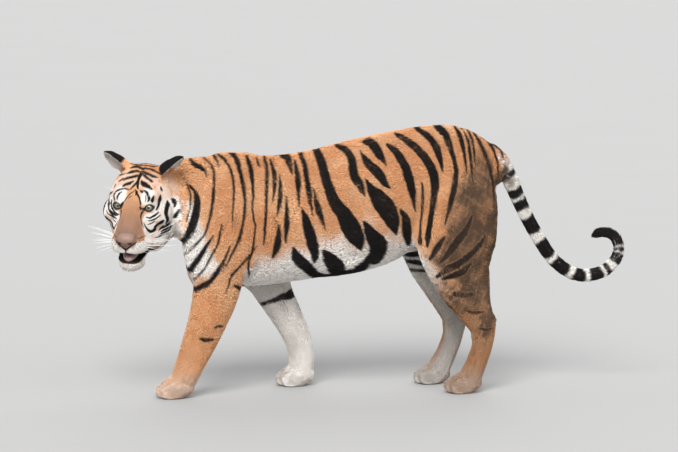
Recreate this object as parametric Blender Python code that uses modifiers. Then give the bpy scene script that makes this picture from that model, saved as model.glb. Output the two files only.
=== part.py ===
"""Bengal tiger, life size: a walking tigress that turns its head to its left.

The tiger heads along -X and stands on Z = 0, and its left side is on -Y.
The body is one flesh form: lofts for trunk, neck, head and legs, with muscles as ellipsoids,
fused by a voxel remesh. Thin cuts then part it into the pieces that a person would name.
Lengths are in metres and angles in degrees.
"""

import math

import bmesh
import bpy
from mathutils import Euler, Matrix, Vector

# Driving dimensions
SHOULDER_TOP = 0.894
CROUP_TOP = 0.990
LEFT, RIGHT = -1, 1
HEAD_SCALE = 1.12
HEAD_CENTRE = Vector((-0.694, -0.100, 0.728))
HEAD_YAW, HEAD_PITCH, HEAD_ROLL = 248.0, 20.5, -2.5
EYE_RADIUS = 0.0190
EYE_PLACE = (0.0800, 0.0540, 0.0200)
EAR_BASE = (-0.045, 0.074, 0.072)
EAR_AXIS = (-0.04, 0.68, 0.73)
EAR_OPENING = (0.45, 0.66, -0.59)
EAR_RADII = (0.089, 0.046, 0.034)
EAR_WALL = 0.007
NOSE_LOW, NOSE_HIGH = (0.184, -0.040, -0.068), (0.260, 0.040, -0.030)
TONGUE_PLACE, TONGUE_RADII, TONGUE_TILT = (0.138, 0.0, -0.1225), (0.044, 0.027, 0.009), 8.5
MOUTH_CORNER = (0.075, -0.112)
MOUTH_FRONT = 0.26
MOUTH_DROP = -0.002
MOUTH_HALF_OPEN = 0.028

# How the flesh is fused and how fine its facets stay
VOXEL = 0.006
SMOOTH_STEPS = 4
BODY_SMOOTH_STEPS = 30
BODY_TRIANGLES = 2050
HEAD_TRIANGLES = 1450
GAP = 0.0003
LOFT_SIDES = 28
LOFT_STEPS = 4
TAIL_SIDES = 12
TAIL_STEPS = 2

HEAD_FRAME = (
    Matrix.Translation(HEAD_CENTRE)
    @ Matrix.Rotation(math.radians(HEAD_YAW), 4, "Z")
    @ Matrix.Rotation(math.radians(HEAD_PITCH), 4, "Y")
    @ Matrix.Rotation(math.radians(HEAD_ROLL), 4, "X")
    @ Matrix.Scale(HEAD_SCALE, 4)
)

# Trunk stations: x, top, bottom, half width, and how much narrower the top is than the middle
TRUNK = (
    (-0.535, 0.700, 0.500, 0.070, 0.00),
    (-0.500, 0.790, 0.430, 0.108, 0.05),
    (-0.440, 0.862, 0.402, 0.135, 0.15),
    (-0.360, SHOULDER_TOP, 0.390, 0.150, 0.25),
    (-0.260, 0.880, 0.394, 0.160, 0.25),
    (-0.140, 0.884, 0.410, 0.170, 0.20),
    (0.000, 0.908, 0.430, 0.174, 0.18),
    (0.120, 0.938, 0.458, 0.168, 0.18),
    (0.240, 0.966, 0.512, 0.152, 0.18),
    (0.340, 0.984, 0.570, 0.142, 0.18),
    (0.430, CROUP_TOP, 0.620, 0.138, 0.20),
    (0.520, 0.970, 0.660, 0.122, 0.20),
    (0.590, 0.922, 0.715, 0.090, 0.10),
    (0.640, 0.872, 0.765, 0.050, 0.00),
)

# Neck stations from the chest to the back of the skull: x, y, z, half depth, half width
NECK = (
    (-0.360, 0.000, 0.690, 0.190, 0.130),
    (-0.450, 0.000, 0.705, 0.176, 0.130),
    (-0.530, -0.010, 0.722, 0.158, 0.128),
    (-0.600, -0.030, 0.735, 0.142, 0.122),
    (-0.650, -0.062, 0.738, 0.126, 0.112),
)

# Legs: x, z, half depth fore and aft, half width, distance from the middle plane
NEAR_FORELEG = (
    (-0.345, 0.800, 0.080, 0.028, 0.062),
    (-0.398, 0.705, 0.112, 0.052, 0.100),
    (-0.438, 0.605, 0.120, 0.063, 0.120),
    (-0.434, 0.505, 0.112, 0.062, 0.124),
    (-0.427, 0.425, 0.094, 0.058, 0.122),
    (-0.443, 0.345, 0.082, 0.056, 0.120),
    (-0.470, 0.265, 0.072, 0.053, 0.118),
    (-0.500, 0.190, 0.063, 0.051, 0.117),
    (-0.528, 0.125, 0.054, 0.051, 0.117),
    (-0.552, 0.066, 0.048, 0.053, 0.117),
)
FAR_FORELEG = (
    (-0.335, 0.800, 0.080, 0.028, 0.062),
    (-0.362, 0.705, 0.112, 0.052, 0.100),
    (-0.365, 0.605, 0.120, 0.060, 0.120),
    (-0.315, 0.515, 0.114, 0.060, 0.122),
    (-0.235, 0.420, 0.088, 0.056, 0.120),
    (-0.193, 0.340, 0.070, 0.052, 0.118),
    (-0.150, 0.260, 0.060, 0.049, 0.116),
    (-0.112, 0.182, 0.053, 0.048, 0.115),
    (-0.096, 0.115, 0.048, 0.049, 0.115),
    (-0.100, 0.058, 0.046, 0.053, 0.115),
)
NEAR_HIND_LEG = (
    (0.470, 0.850, 0.100, 0.040, 0.060),
    (0.470, 0.745, 0.138, 0.064, 0.092),
    (0.462, 0.640, 0.150, 0.074, 0.108),
    (0.455, 0.540, 0.146, 0.072, 0.114),
    (0.468, 0.455, 0.118, 0.062, 0.116),
    (0.495, 0.375, 0.094, 0.052, 0.116),
    (0.528, 0.300, 0.066, 0.042, 0.115),
    (0.556, 0.235, 0.050, 0.037, 0.115),
    (0.552, 0.170, 0.040, 0.038, 0.115),
    (0.530, 0.105, 0.039, 0.042, 0.115),
    (0.508, 0.055, 0.042, 0.048, 0.115),
)
FAR_HIND_LEG = (
    (0.455, 0.850, 0.100, 0.040, 0.060),
    (0.436, 0.745, 0.140, 0.064, 0.092),
    (0.406, 0.640, 0.146, 0.072, 0.108),
    (0.388, 0.545, 0.126, 0.068, 0.112),
    (0.398, 0.462, 0.100, 0.058, 0.114),
    (0.426, 0.385, 0.079, 0.049, 0.114),
    (0.456, 0.310, 0.061, 0.042, 0.113),
    (0.480, 0.245, 0.049, 0.037, 0.112),
    (0.472, 0.175, 0.040, 0.038, 0.112),
    (0.446, 0.105, 0.039, 0.042, 0.112),
    (0.420, 0.055, 0.042, 0.048, 0.112),
)

# Head stations in the head's own frame, before its scale: forward, up, half height, half width, taper
SKULL = (
    (-0.120, 0.000, 0.066, 0.062, 0.00),
    (-0.090, -0.002, 0.101, 0.094, 0.05),
    (-0.045, -0.003, 0.119, 0.109, 0.10),
    (0.000, -0.008, 0.123, 0.113, 0.12),
    (0.045, -0.022, 0.118, 0.106, 0.15),
    (0.080, -0.042, 0.106, 0.088, 0.18),
    (0.110, -0.060, 0.094, 0.070, 0.20),
    (0.145, -0.077, 0.083, 0.057, 0.20),
    (0.176, -0.086, 0.066, 0.049, 0.15),
    (0.194, -0.084, 0.038, 0.036, 0.05),
)

# Rounded masses of the head: place, radii, tilt. Each is on both sides where its place is aside
HEAD_MASSES = (
    ((0.153, 0.029, -0.076), (0.045, 0.033, 0.035), 0),  # whisker pads
    ((0.186, 0.000, -0.049), (0.020, 0.031, 0.020), 20),  # nose
    ((0.126, 0.000, -0.004), (0.080, 0.034, 0.021), 38),  # bridge of the nose
    ((0.146, 0.000, -0.148), (0.040, 0.038, 0.026), 0),  # chin
    ((0.058, 0.049, 0.052), (0.036, 0.030, 0.019), 38),  # brows
    ((0.052, 0.078, -0.012), (0.050, 0.036, 0.042), 0),  # cheekbones
    ((-0.010, 0.077, -0.042), (0.058, 0.042, 0.076), 0),  # ruffs
    ((0.035, 0.050, -0.104), (0.085, 0.042, 0.042), 0),  # jaws
)
# The fold of skin and coat on the side that the head turns to
TURN_FOLD = ((-0.030, 0.104, -0.040), (0.050, 0.046, 0.080), 0)

# Rounded masses of the body: place, radii, turn about Y
BODY_MASSES = (
    ((-0.462, -0.025, 0.505), (0.082, 0.100, 0.122), 0),  # breast
    ((-0.355, 0.000, 0.843), (0.110, 0.060, 0.048), 8),  # withers
    ((-0.345, -0.110, 0.535), (0.090, 0.050, 0.100), 25),  # near triceps
    ((-0.285, 0.110, 0.545), (0.090, 0.050, 0.100), 35),  # far triceps
    ((0.585, -0.112, 0.262), (0.026, 0.022, 0.034), 20),  # near point of hock
    ((0.507, 0.112, 0.270), (0.026, 0.022, 0.034), 20),  # far point of hock
    ((0.300, 0.000, 0.600), (0.120, 0.110, 0.085), -25),  # flank
    ((0.040, 0.000, 0.500), (0.260, 0.120, 0.070), -8),  # belly
)

# Paws: x of the ball of the foot, side and distance from the middle plane, length, width
PAWS = {
    "near_fore": (-0.580, LEFT, 0.117, 0.150, 0.122),
    "far_fore": (-0.116, RIGHT, 0.115, 0.150, 0.122),
    "near_hind": (0.490, LEFT, 0.115, 0.140, 0.108),
    "far_hind": (0.402, RIGHT, 0.112, 0.140, 0.108),
}
# Toes of one paw: share of the half width to the side, and how far ahead of the ball
TOES = ((-0.74, 0.026), (-0.26, 0.042), (0.26, 0.042), (0.74, 0.026))
TOE_RADII = (0.036, 0.0185, 0.027)

# Tail: x, y, z of its middle line, and radius
TAIL = (
    (0.585, 0.000, 0.872, 0.050),
    (0.632, 0.000, 0.843, 0.040),
    (0.667, 0.000, 0.786, 0.032),
    (0.701, 0.000, 0.710, 0.0280),
    (0.738, 0.004, 0.633, 0.0265),
    (0.785, 0.008, 0.550, 0.0260),
    (0.837, 0.012, 0.475, 0.0255),
    (0.905, 0.014, 0.424, 0.0250),
    (0.970, 0.014, 0.413, 0.0245),
    (1.032, 0.012, 0.431, 0.0240),
    (1.072, 0.008, 0.471, 0.0230),
    (1.083, 0.002, 0.518, 0.0220),
    (1.065, -0.004, 0.560, 0.0210),
    (1.030, -0.008, 0.577, 0.0205),
    (1.000, -0.010, 0.573, 0.0185),
    (0.984, -0.010, 0.561, 0.0090),
)
TAIL_CUTS = (2.0, 5.0, 8.0, 11.0, len(TAIL) - 1.0)

# Finishes: colour and roughness
FINISHES = {
    "coat_orange": ((0.56, 0.25, 0.085), 0.85),
    "coat_pale": ((0.72, 0.64, 0.52), 0.85),
    "coat_ringed": ((0.40, 0.34, 0.27), 0.85),
    "nose_leather": ((0.45, 0.20, 0.16), 0.55),
    "mouth_flesh": ((0.42, 0.16, 0.15), 0.45),
    "eye": ((0.35, 0.22, 0.06), 0.08),
}
FINISH_OF = {
    "left_eye": "eye",
    "right_eye": "eye",
    "nose": "nose_leather",
    "tongue": "mouth_flesh",
    "lower_jaw": "coat_pale",
    "tail_1": "coat_ringed",
    "tail_2": "coat_ringed",
    "tail_3": "coat_ringed",
    "tail_4": "coat_ringed",
}


def clear_scene():
    for thing in list(bpy.data.objects):
        bpy.data.objects.remove(thing)


def material(name, colour, roughness):
    made = bpy.data.materials.new(name)
    made.use_nodes = True
    shader = made.node_tree.nodes["Principled BSDF"]
    shader.inputs["Base Color"].default_value = (*colour, 1.0)
    shader.inputs["Roughness"].default_value = roughness
    shader.inputs["Metallic"].default_value = 0.0
    made.diffuse_color = (*colour, 1.0)
    return made


def between(rows, at):
    """The row at a place along the list, on a smooth curve through all rows."""
    first = min(int(at), len(rows) - 2)
    part = at - first
    before = rows[max(first - 1, 0)]
    after = rows[min(first + 2, len(rows) - 1)]
    mixed = []
    for a, b, c, d in zip(before, rows[first], rows[first + 1], after):
        slope_in, slope_out = (c - a) / 2, (d - b) / 2
        bend = 3 * (c - b) - 2 * slope_in - slope_out
        twist = 2 * (b - c) + slope_in + slope_out
        mixed.append(b + part * (slope_in + part * (bend + part * twist)))
    return mixed


def rings_of(stations, upright=False):
    """Each station of (centre, half depth, half width, taper) with the axes of its section, which don't flip.

    An upright section stands square to X, and any other one square to the line through the centres.
    """
    count = len(stations)
    rings = []
    up = Vector((-0.5, 0, 1))
    for i, (centre, deep, wide, taper) in enumerate(stations):
        ahead = stations[min(i + 1, count - 1)][0] - stations[max(i - 1, 0)][0]
        ahead = Vector((1, 0, 0)) if upright else ahead.normalized()
        side = (Vector((0, 1, 0)) - ahead * ahead.y).normalized()
        across = ahead.cross(side).normalized()
        up = across if across.dot(up) > 0 else -across
        rings.append((centre, ahead, side, up, deep, wide, taper))
    return rings


def skin(bm, rings, frame=Matrix.Identity(4), sides=LOFT_SIDES):
    """Joins oval sections into one tube, closed at both ends."""
    made = []
    for centre, _, side, up, deep, wide, taper in rings:
        ring = []
        for k in range(sides):
            angle = 2 * math.pi * k / sides
            narrow = 1 - taper * max(math.sin(angle), 0) ** 2
            offset = side * (wide * narrow * math.cos(angle)) + up * (deep * math.sin(angle))
            ring.append(bm.verts.new(frame @ (centre + offset)))
        made.append(ring)
    for low, high in zip(made, made[1:]):
        for k in range(sides):
            nxt = (k + 1) % sides
            bm.faces.new((low[k], low[nxt], high[nxt], high[k]))
    bm.faces.new(made[0])
    bm.faces.new(made[-1])


def loft(bm, stations, frame=Matrix.Identity(4), upright=False):
    skin(bm, rings_of(stations, upright), frame)


def along(rows, steps=LOFT_STEPS, first=0.0, last=None):
    """Rows at even places along the smooth curve through the given ones."""
    last = len(rows) - 1.0 if last is None else last
    count = max(round((last - first) * steps), 1)
    return [between(rows, first + (last - first) * k / count) for k in range(count + 1)]


def ellipsoid(bm, centre, radii, turn=0.0, frame=Matrix.Identity(4), segments=24):
    place = Matrix.Translation(centre) @ Matrix.Rotation(math.radians(turn), 4, "Y")
    stretch = Matrix.Diagonal((*radii, 1.0))
    bmesh.ops.create_uvsphere(
        bm,
        u_segments=segments,
        v_segments=segments * 2 // 3,
        radius=1.0,
        matrix=frame @ place @ stretch,
    )


def add_trunk(bm):
    loft(
        bm,
        [
            (Vector((x, 0, (top + bottom) / 2)), (top - bottom) / 2, wide, taper)
            for x, top, bottom, wide, taper in along(TRUNK)
        ],
    )
    for centre, radii, turn in BODY_MASSES:
        ellipsoid(bm, centre, radii, turn)


def add_neck(bm):
    loft(bm, [(Vector((x, y, z)), deep, wide, 0.2) for x, y, z, deep, wide in along(NECK)])


def add_leg(bm, rows, side):
    loft(
        bm,
        [
            (Vector((x, side * out, z)), deep, wide, 0.0)
            for x, z, deep, wide, out in along(rows)
        ],
    )


def add_paw(bm, ball_x, side, out, length, width):
    y = side * out
    half = width / 2
    ellipsoid(bm, (ball_x + 0.006, y, 0.040), (length * 0.42, half * 0.94, 0.042))
    ellipsoid(bm, (ball_x - 0.010, y, 0.018), (length * 0.38, half * 0.98, 0.026))
    for aside, ahead in TOES:
        ellipsoid(bm, (ball_x - ahead, y + aside * half, 0.0245), TOE_RADII)


def add_head(bm):
    loft(
        bm,
        [
            (Vector((ahead, 0, up)), high, wide, taper)
            for ahead, up, high, wide, taper in along(SKULL)
        ],
        frame=HEAD_FRAME,
        upright=True,
    )
    for (ahead, aside, up), radii, tilt in HEAD_MASSES:
        for way in (1, -1) if aside else (1,):
            ellipsoid(bm, (ahead, way * aside, up), radii, tilt, HEAD_FRAME)
    ellipsoid(bm, *TURN_FOLD, HEAD_FRAME)


def tail_rings():
    rows = along(TAIL, TAIL_STEPS)
    return rings_of([(Vector((x, y, z)), radius, radius, 0.0) for x, y, z, radius in rows])


def add_tail_root(bm):
    skin(bm, tail_rings()[: int(TAIL_CUTS[0] * TAIL_STEPS) + 2])


def tail_pieces(into):
    """The free tail in short tubes, with a thin gap between each and the next."""
    rings = tail_rings()
    pieces = {}
    for number, (first, last) in enumerate(zip(TAIL_CUTS, TAIL_CUTS[1:]), start=1):
        some = rings[round(first * TAIL_STEPS) : round(last * TAIL_STEPS) + 1]
        for place, way in ((0, 1), (-1, -1)):
            centre, ahead, *rest = some[place]
            some[place] = (centre + ahead * (way * GAP / 2), ahead, *rest)
        bm = bmesh.new()
        skin(bm, some, sides=TAIL_SIDES)
        bmesh.ops.recalc_face_normals(bm, faces=bm.faces)
        name = f"tail_{number}"
        pieces[name] = mesh_object(name, bm, into)
    return pieces


def mesh_object(name, bm, into):
    mesh = bpy.data.meshes.new(name)
    bm.to_mesh(mesh)
    bm.free()
    made = bpy.data.objects.new(name, mesh)
    into.objects.link(made)
    return made


def applied(thing):
    """Makes the object's mesh the one its modifiers give."""
    bpy.context.view_layer.update()
    graph = bpy.context.evaluated_depsgraph_get()
    mesh = bpy.data.meshes.new_from_object(thing.evaluated_get(graph))
    thing.modifiers.clear()
    old = thing.data
    thing.data = mesh
    bpy.data.meshes.remove(old)
    return thing


def fused_flesh(into):
    """The whole animal but ears, eyes and free tail, as one smooth closed mesh with a flat under each paw."""
    bm = bmesh.new()
    add_trunk(bm)
    add_neck(bm)
    add_head(bm)
    for rows, side in (
        (NEAR_FORELEG, LEFT),
        (FAR_FORELEG, RIGHT),
        (NEAR_HIND_LEG, LEFT),
        (FAR_HIND_LEG, RIGHT),
    ):
        add_leg(bm, rows, side)
    for paw in PAWS.values():
        add_paw(bm, *paw)
    add_tail_root(bm)
    bmesh.ops.recalc_face_normals(bm, faces=bm.faces)
    flesh = mesh_object("flesh", bm, into)
    remesh = flesh.modifiers.new("fuse", "REMESH")
    remesh.mode = "VOXEL"
    remesh.voxel_size = VOXEL
    smooth = flesh.modifiers.new("smooth", "SMOOTH")
    smooth.factor = 0.5
    smooth.iterations = SMOOTH_STEPS
    applied(flesh)
    even_out(flesh)
    thin_out(flesh)
    flatten_soles(flesh)
    return flesh


def in_head(point):
    return (point - HEAD_FRAME @ Vector((0.05, 0, -0.03))).length < 0.19 * HEAD_SCALE


def even_out(flesh):
    """Softens where muscles meet on the body, and leaves the face and the toes as they are."""
    group = flesh.vertex_groups.new(name="broad")
    for vertex in flesh.data.vertices:
        broad = min(max((vertex.co.z - 0.10) / 0.10, 0.0), 1.0)
        group.add((vertex.index,), 0.0 if in_head(vertex.co) else broad, "REPLACE")
    smooth = flesh.modifiers.new("even", "SMOOTH")
    smooth.factor = 0.5
    smooth.iterations = BODY_SMOOTH_STEPS
    smooth.vertex_group = "broad"
    applied(flesh)
    flesh.vertex_groups.clear()


def thin_out(flesh):
    """Fewer facets, first on the body and then on the head, which keeps its facets smaller."""
    for on_head, triangles in ((False, BODY_TRIANGLES), (True, HEAD_TRIANGLES)):
        mesh = flesh.data
        chosen = [in_head(v.co) == on_head for v in mesh.vertices]
        group = flesh.vertex_groups.new(name="thin")
        group.add([i for i, is_in in enumerate(chosen) if is_in], 1.0, "REPLACE")
        sizes = [(len(p.vertices) - 2, all(chosen[i] for i in p.vertices)) for p in mesh.polygons]
        whole = sum(size for size, _ in sizes)
        rest = sum(size for size, is_in in sizes if not is_in)
        thin = flesh.modifiers.new("thin", "DECIMATE")
        thin.ratio = (rest + triangles) / whole
        thin.vertex_group = "thin"
        applied(flesh)
        flesh.vertex_groups.clear()


def flatten_soles(flesh):
    bm = bmesh.new()
    bm.from_mesh(flesh.data)
    geometry = bm.verts[:] + bm.edges[:] + bm.faces[:]
    cut = bmesh.ops.bisect_plane(
        bm, geom=geometry, dist=1e-5, plane_co=(0, 0, 0), plane_no=(0, 0, 1), clear_inner=True
    )
    rims = [e for e in cut["geom_cut"] if isinstance(e, bmesh.types.BMEdge)]
    bmesh.ops.holes_fill(bm, edges=rims, sides=0)
    bmesh.ops.triangulate(bm, faces=bm.faces)
    bmesh.ops.recalc_face_normals(bm, faces=bm.faces)
    bm.to_mesh(flesh.data)
    bm.free()


def box(name, centre, size, turn, into, grow=0.0):
    """A helper box, turned about its centre, each face moved outwards by grow."""
    bm = bmesh.new()
    bmesh.ops.create_cube(bm, size=1.0)
    made = mesh_object(name, bm, into)
    turned = Euler([math.radians(a) for a in turn]).to_matrix().to_4x4()
    stretch = Matrix.Diagonal((*(s + 2 * grow for s in size), 1.0))
    made.data.transform(Matrix.Translation(centre) @ turned @ stretch)
    made.hide_render = True
    made.display_type = "WIRE"
    return made


def boolean(thing, operation, tool):
    cut = thing.modifiers.new(operation.lower(), "BOOLEAN")
    cut.operation = operation
    cut.object = tool
    applied(thing)
    bpy.data.objects.remove(tool)
    return thing


def carve(body, name, centre, size, turn, cutters):
    """Takes what lies in a box out of the body as a piece of its own, with a thin gap round it."""
    piece = body.copy()
    piece.data = body.data.copy()
    piece.name = name
    body.users_collection[0].objects.link(piece)
    boolean(piece, "INTERSECT", box("keep", centre, size, turn, cutters, -GAP / 2))
    boolean(body, "DIFFERENCE", box("cut", centre, size, turn, cutters, GAP / 2))
    return piece


def leaning_box(top, bottom, half_deep, low_y, high_y):
    """Centre, size and turn of a box round a stretch of leg between two points of its side view."""
    (x1, z1), (x2, z2) = top, bottom
    lean = math.degrees(math.atan2(x1 - x2, z1 - z2))
    centre = ((x1 + x2) / 2, (low_y + high_y) / 2, (z1 + z2) / 2)
    return centre, (2 * half_deep, high_y - low_y, math.hypot(x2 - x1, z2 - z1)), (0, lean, 0)


def slab(low, high):
    """Centre, size and turn of an upright box between two corners."""
    centre = [(a + b) / 2 for a, b in zip(low, high)]
    return centre, [b - a for a, b in zip(low, high)], (0, 0, 0)


def head_region():
    """The box in front of the sloping plane where head and neck meet, clear of the near shoulder."""
    yaw, slope = 225.4, -15.0
    turned = Euler((0, math.radians(slope), math.radians(yaw))).to_matrix()
    throat = HEAD_CENTRE + Vector((0.075, 0.056, 0))
    depth, left, right = 0.60, 0.172, 0.350
    centre = throat + turned @ Vector((depth / 2, (left - right) / 2, 0))
    return centre, (depth, left + right, 0.90), (0, slope, yaw)


def head_box(low, high, tilt=0.0):
    """A box given in the head's own frame, and turned by a tilt about the head's cross axis."""
    centre = [(a + b) / 2 for a, b in zip(low, high)]
    size = [HEAD_SCALE * (b - a) for a, b in zip(low, high)]
    turn = (HEAD_ROLL, HEAD_PITCH, HEAD_YAW)
    turned = Euler([math.radians(a) for a in turn]).to_matrix()
    turned = turned @ Matrix.Rotation(math.radians(tilt), 3, "Y")
    return HEAD_FRAME @ Vector(centre), size, [math.degrees(a) for a in turned.to_euler()]


def part_body(flesh, cutters):
    """Thin cuts, from the ends of the body inwards. Returns the named pieces."""
    inner, outer = 0.020, 0.300
    root, ahead = tail_rings()[round(TAIL_CUTS[0] * TAIL_STEPS)][:2]
    lean = math.degrees(math.atan2(ahead.x, ahead.z))
    tail_end = (root + ahead * 0.05, (0.14, 0.14, 0.10), (0, lean, 0))
    boolean(flesh, "DIFFERENCE", box("tail_end", *tail_end, cutters, GAP / 2))
    regions = [
        ("head", *head_region()),
        ("left_forepaw", *leaning_box((-0.516, 0.158), (-0.63, -0.09), 0.20, -outer, -inner)),
        ("left_forearm", *slab((-0.80, -outer, -0.10), (-0.20, -inner, 0.368))),
        ("right_forepaw", *leaning_box((-0.108, 0.160), (-0.10, -0.09), 0.20, inner, outer)),
        ("right_forearm", *slab((-0.50, inner, -0.10), (0.10, outer, 0.372))),
        ("left_hind_foot", *leaning_box((0.550, 0.198), (0.47, -0.09), 0.20, -outer, -inner)),
        ("left_shank", *slab((0.20, -outer, -0.10), (0.90, -inner, 0.430))),
        ("right_hind_foot", *leaning_box((0.472, 0.205), (0.39, -0.09), 0.20, inner, outer)),
        ("right_shank", *slab((0.10, inner, -0.10), (0.90, outer, 0.440))),
        ("left_shoulder", *slab((-0.530, -0.35, 0.20), (-0.200, -0.082, 0.83))),
        ("right_shoulder", *slab((-0.530, 0.082, 0.20), (-0.105, 0.35, 0.83))),
        ("left_thigh", *slab((0.290, -0.35, 0.20), (0.80, -0.070, 0.90))),
        ("right_thigh", *slab((0.240, 0.070, 0.20), (0.80, 0.35, 0.90))),
        ("neck", (-0.70, 0.0, 0.75), (0.44, 0.5, 0.6), (0, 21, 0)),
        ("chest", *slab((-0.80, -0.3, 0.20), (-0.190, 0.3, 1.1))),
        ("hips", *slab((0.285, -0.3, 0.20), (0.90, 0.3, 1.1))),
    ]
    pieces = {}
    for name, centre, size, turn in regions:
        pieces[name] = carve(flesh, name, centre, size, turn, cutters)
    flesh.name = "barrel"
    pieces["barrel"] = flesh
    return pieces


def grown(thing, by):
    """A copy of the object with its surface moved outwards, to cut a fitting gap with."""
    copy = thing.copy()
    copy.data = thing.data.copy()
    thing.users_collection[0].objects.link(copy)
    for vertex in copy.data.vertices:
        vertex.co += vertex.normal * by
    copy.hide_render = True
    copy.display_type = "WIRE"
    return copy


def mouth_wedge(cutters, clearance=0.0):
    """The open space between the lips, from a thin line at the corner to its full height in front."""
    ahead, up = MOUTH_CORNER
    bm = bmesh.new()
    bmesh.ops.create_cube(bm, size=1.0)
    for vertex in bm.verts:
        in_front = vertex.co.x > 0
        half_open = MOUTH_HALF_OPEN - clearance if in_front else GAP
        middle = up - MOUTH_DROP if in_front else up
        vertex.co.x = MOUTH_FRONT if in_front else ahead + 8 * clearance
        vertex.co.z = middle + math.copysign(half_open, vertex.co.z)
        vertex.co.y *= 0.4
    wedge = mesh_object("wedge", bm, cutters)
    wedge.data.transform(HEAD_FRAME)
    wedge.hide_render = True
    wedge.display_type = "WIRE"
    return wedge


def open_mouth(head, cutters):
    """Opens the lips, and parts the lower jaw below them as a piece of its own."""
    boolean(head, "DIFFERENCE", mouth_wedge(cutters))
    ahead, up = MOUTH_CORNER
    tilt = math.degrees(math.atan2(MOUTH_DROP, MOUTH_FRONT - ahead))
    low, high = (0.015, -0.3, up - 0.2), (0.30, 0.3, up - 0.006)
    return carve(head, "lower_jaw", *head_box(low, high, tilt), cutters)


def tongue(cutters, into):
    """The tongue lies on the lower jaw, cut to the open space between the lips."""
    bm = bmesh.new()
    ellipsoid(bm, TONGUE_PLACE, TONGUE_RADII, TONGUE_TILT, HEAD_FRAME, segments=12)
    made = mesh_object("tongue", bm, into)
    return boolean(made, "INTERSECT", mouth_wedge(cutters, 2 * GAP))


def eyeball(head, side, into):
    """One eye, and its socket cut into the head a little wider."""
    ahead, aside, up = EYE_PLACE
    place = HEAD_FRAME @ Matrix.Translation((ahead, side * aside, up))
    turned = place @ Matrix.Rotation(math.radians(90), 4, "Y")
    for name, radius in (("socket", EYE_RADIUS + GAP), ("eye", EYE_RADIUS)):
        bm = bmesh.new()
        bmesh.ops.create_uvsphere(
            bm, u_segments=14, v_segments=8, radius=radius, matrix=turned
        )
        made = mesh_object(name, bm, into)
        if name == "socket":
            boolean(head, "DIFFERENCE", made)
    return made


def ear(head, side, into):
    """A rounded cup that opens to the side, cut off where it meets the head."""
    axis = Vector((EAR_AXIS[0], side * EAR_AXIS[1], EAR_AXIS[2])).normalized()
    opening = Vector((EAR_OPENING[0], side * EAR_OPENING[1], EAR_OPENING[2]))
    opening = (opening - axis * opening.dot(axis)).normalized()
    across = axis.cross(opening)
    centre = Vector((EAR_BASE[0], side * EAR_BASE[1], EAR_BASE[2]))
    tall, wide, deep = EAR_RADII
    bm = bmesh.new()
    bmesh.ops.create_uvsphere(bm, u_segments=16, v_segments=12, radius=1.0)
    geometry = bm.verts[:] + bm.edges[:] + bm.faces[:]
    bmesh.ops.bisect_plane(
        bm, geom=geometry, dist=1e-5, plane_co=(0, 0, 0), plane_no=(0, 1, 0), clear_outer=True
    )
    axes = Matrix((across, opening, axis)).transposed().to_4x4()
    stretch = Matrix.Diagonal((wide, deep, tall, 1.0))
    bm.transform(HEAD_FRAME @ Matrix.Translation(centre) @ axes @ stretch)
    bmesh.ops.recalc_face_normals(bm, faces=bm.faces)
    made = mesh_object("ear", bm, into)
    shell = made.modifiers.new("shell", "SOLIDIFY")
    shell.thickness = EAR_WALL
    shell.offset = -1.0
    applied(made)
    boolean(made, "DIFFERENCE", grown(head, GAP))
    return made


def centre_on_floor(pieces):
    """Moves all so that the origin is below the middle of the whole, on the floor."""
    points = [v.co for piece in pieces for v in piece.data.vertices]
    low = [min(p[axis] for p in points) for axis in range(3)]
    high = [max(p[axis] for p in points) for axis in range(3)]
    shift = Matrix.Translation((-(low[0] + high[0]) / 2, -(low[1] + high[1]) / 2, -low[2]))
    for piece in pieces:
        piece.data.transform(shift)


def main():
    clear_scene()
    scene = bpy.context.scene
    tiger = bpy.data.collections.new("tiger")
    cutters = bpy.data.collections.new("cutters")
    scene.collection.children.link(tiger)
    scene.collection.children.link(cutters)
    flesh = fused_flesh(tiger)
    pieces = part_body(flesh, cutters)
    head = pieces["head"]
    for name, side in (("left_ear", 1), ("right_ear", -1)):
        pieces[name] = ear(head, side, tiger)
    for name, side in (("left_eye", 1), ("right_eye", -1)):
        pieces[name] = eyeball(head, side, tiger)
    pieces["lower_jaw"] = open_mouth(head, cutters)
    pieces["tongue"] = tongue(cutters, tiger)
    pieces["nose"] = carve(head, "nose", *head_box(NOSE_LOW, NOSE_HIGH), cutters)
    pieces.update(tail_pieces(tiger))
    for name, piece in pieces.items():
        finish = FINISH_OF.get(name, "coat_orange")
        piece.name = name
        piece.data.materials.clear()
        piece.data.materials.append(material(f"{name}_{finish}", *FINISHES[finish]))
    centre_on_floor(list(pieces.values()))


if __name__ == "__main__":
    main()
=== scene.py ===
"""Looks of a life-size Bengal tiger: one skin, a coat of solid tufts, eyes, nose, mouth, whiskers and claws.

The tiger heads along -X and stands on Z = 0, with its left side on -Y. Lengths are in metres. Places on the
head are in the head's own axes, forward, left and up from its middle, in units of HeadAxes.scale metres.
"""

from __future__ import annotations

import logging
import math
import time
from dataclasses import dataclass, field
from enum import Enum
from typing import Sequence

import bmesh
import bpy
import numpy as np
from mathutils import Matrix, Vector
from mathutils.bvhtree import BVHTree


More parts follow.
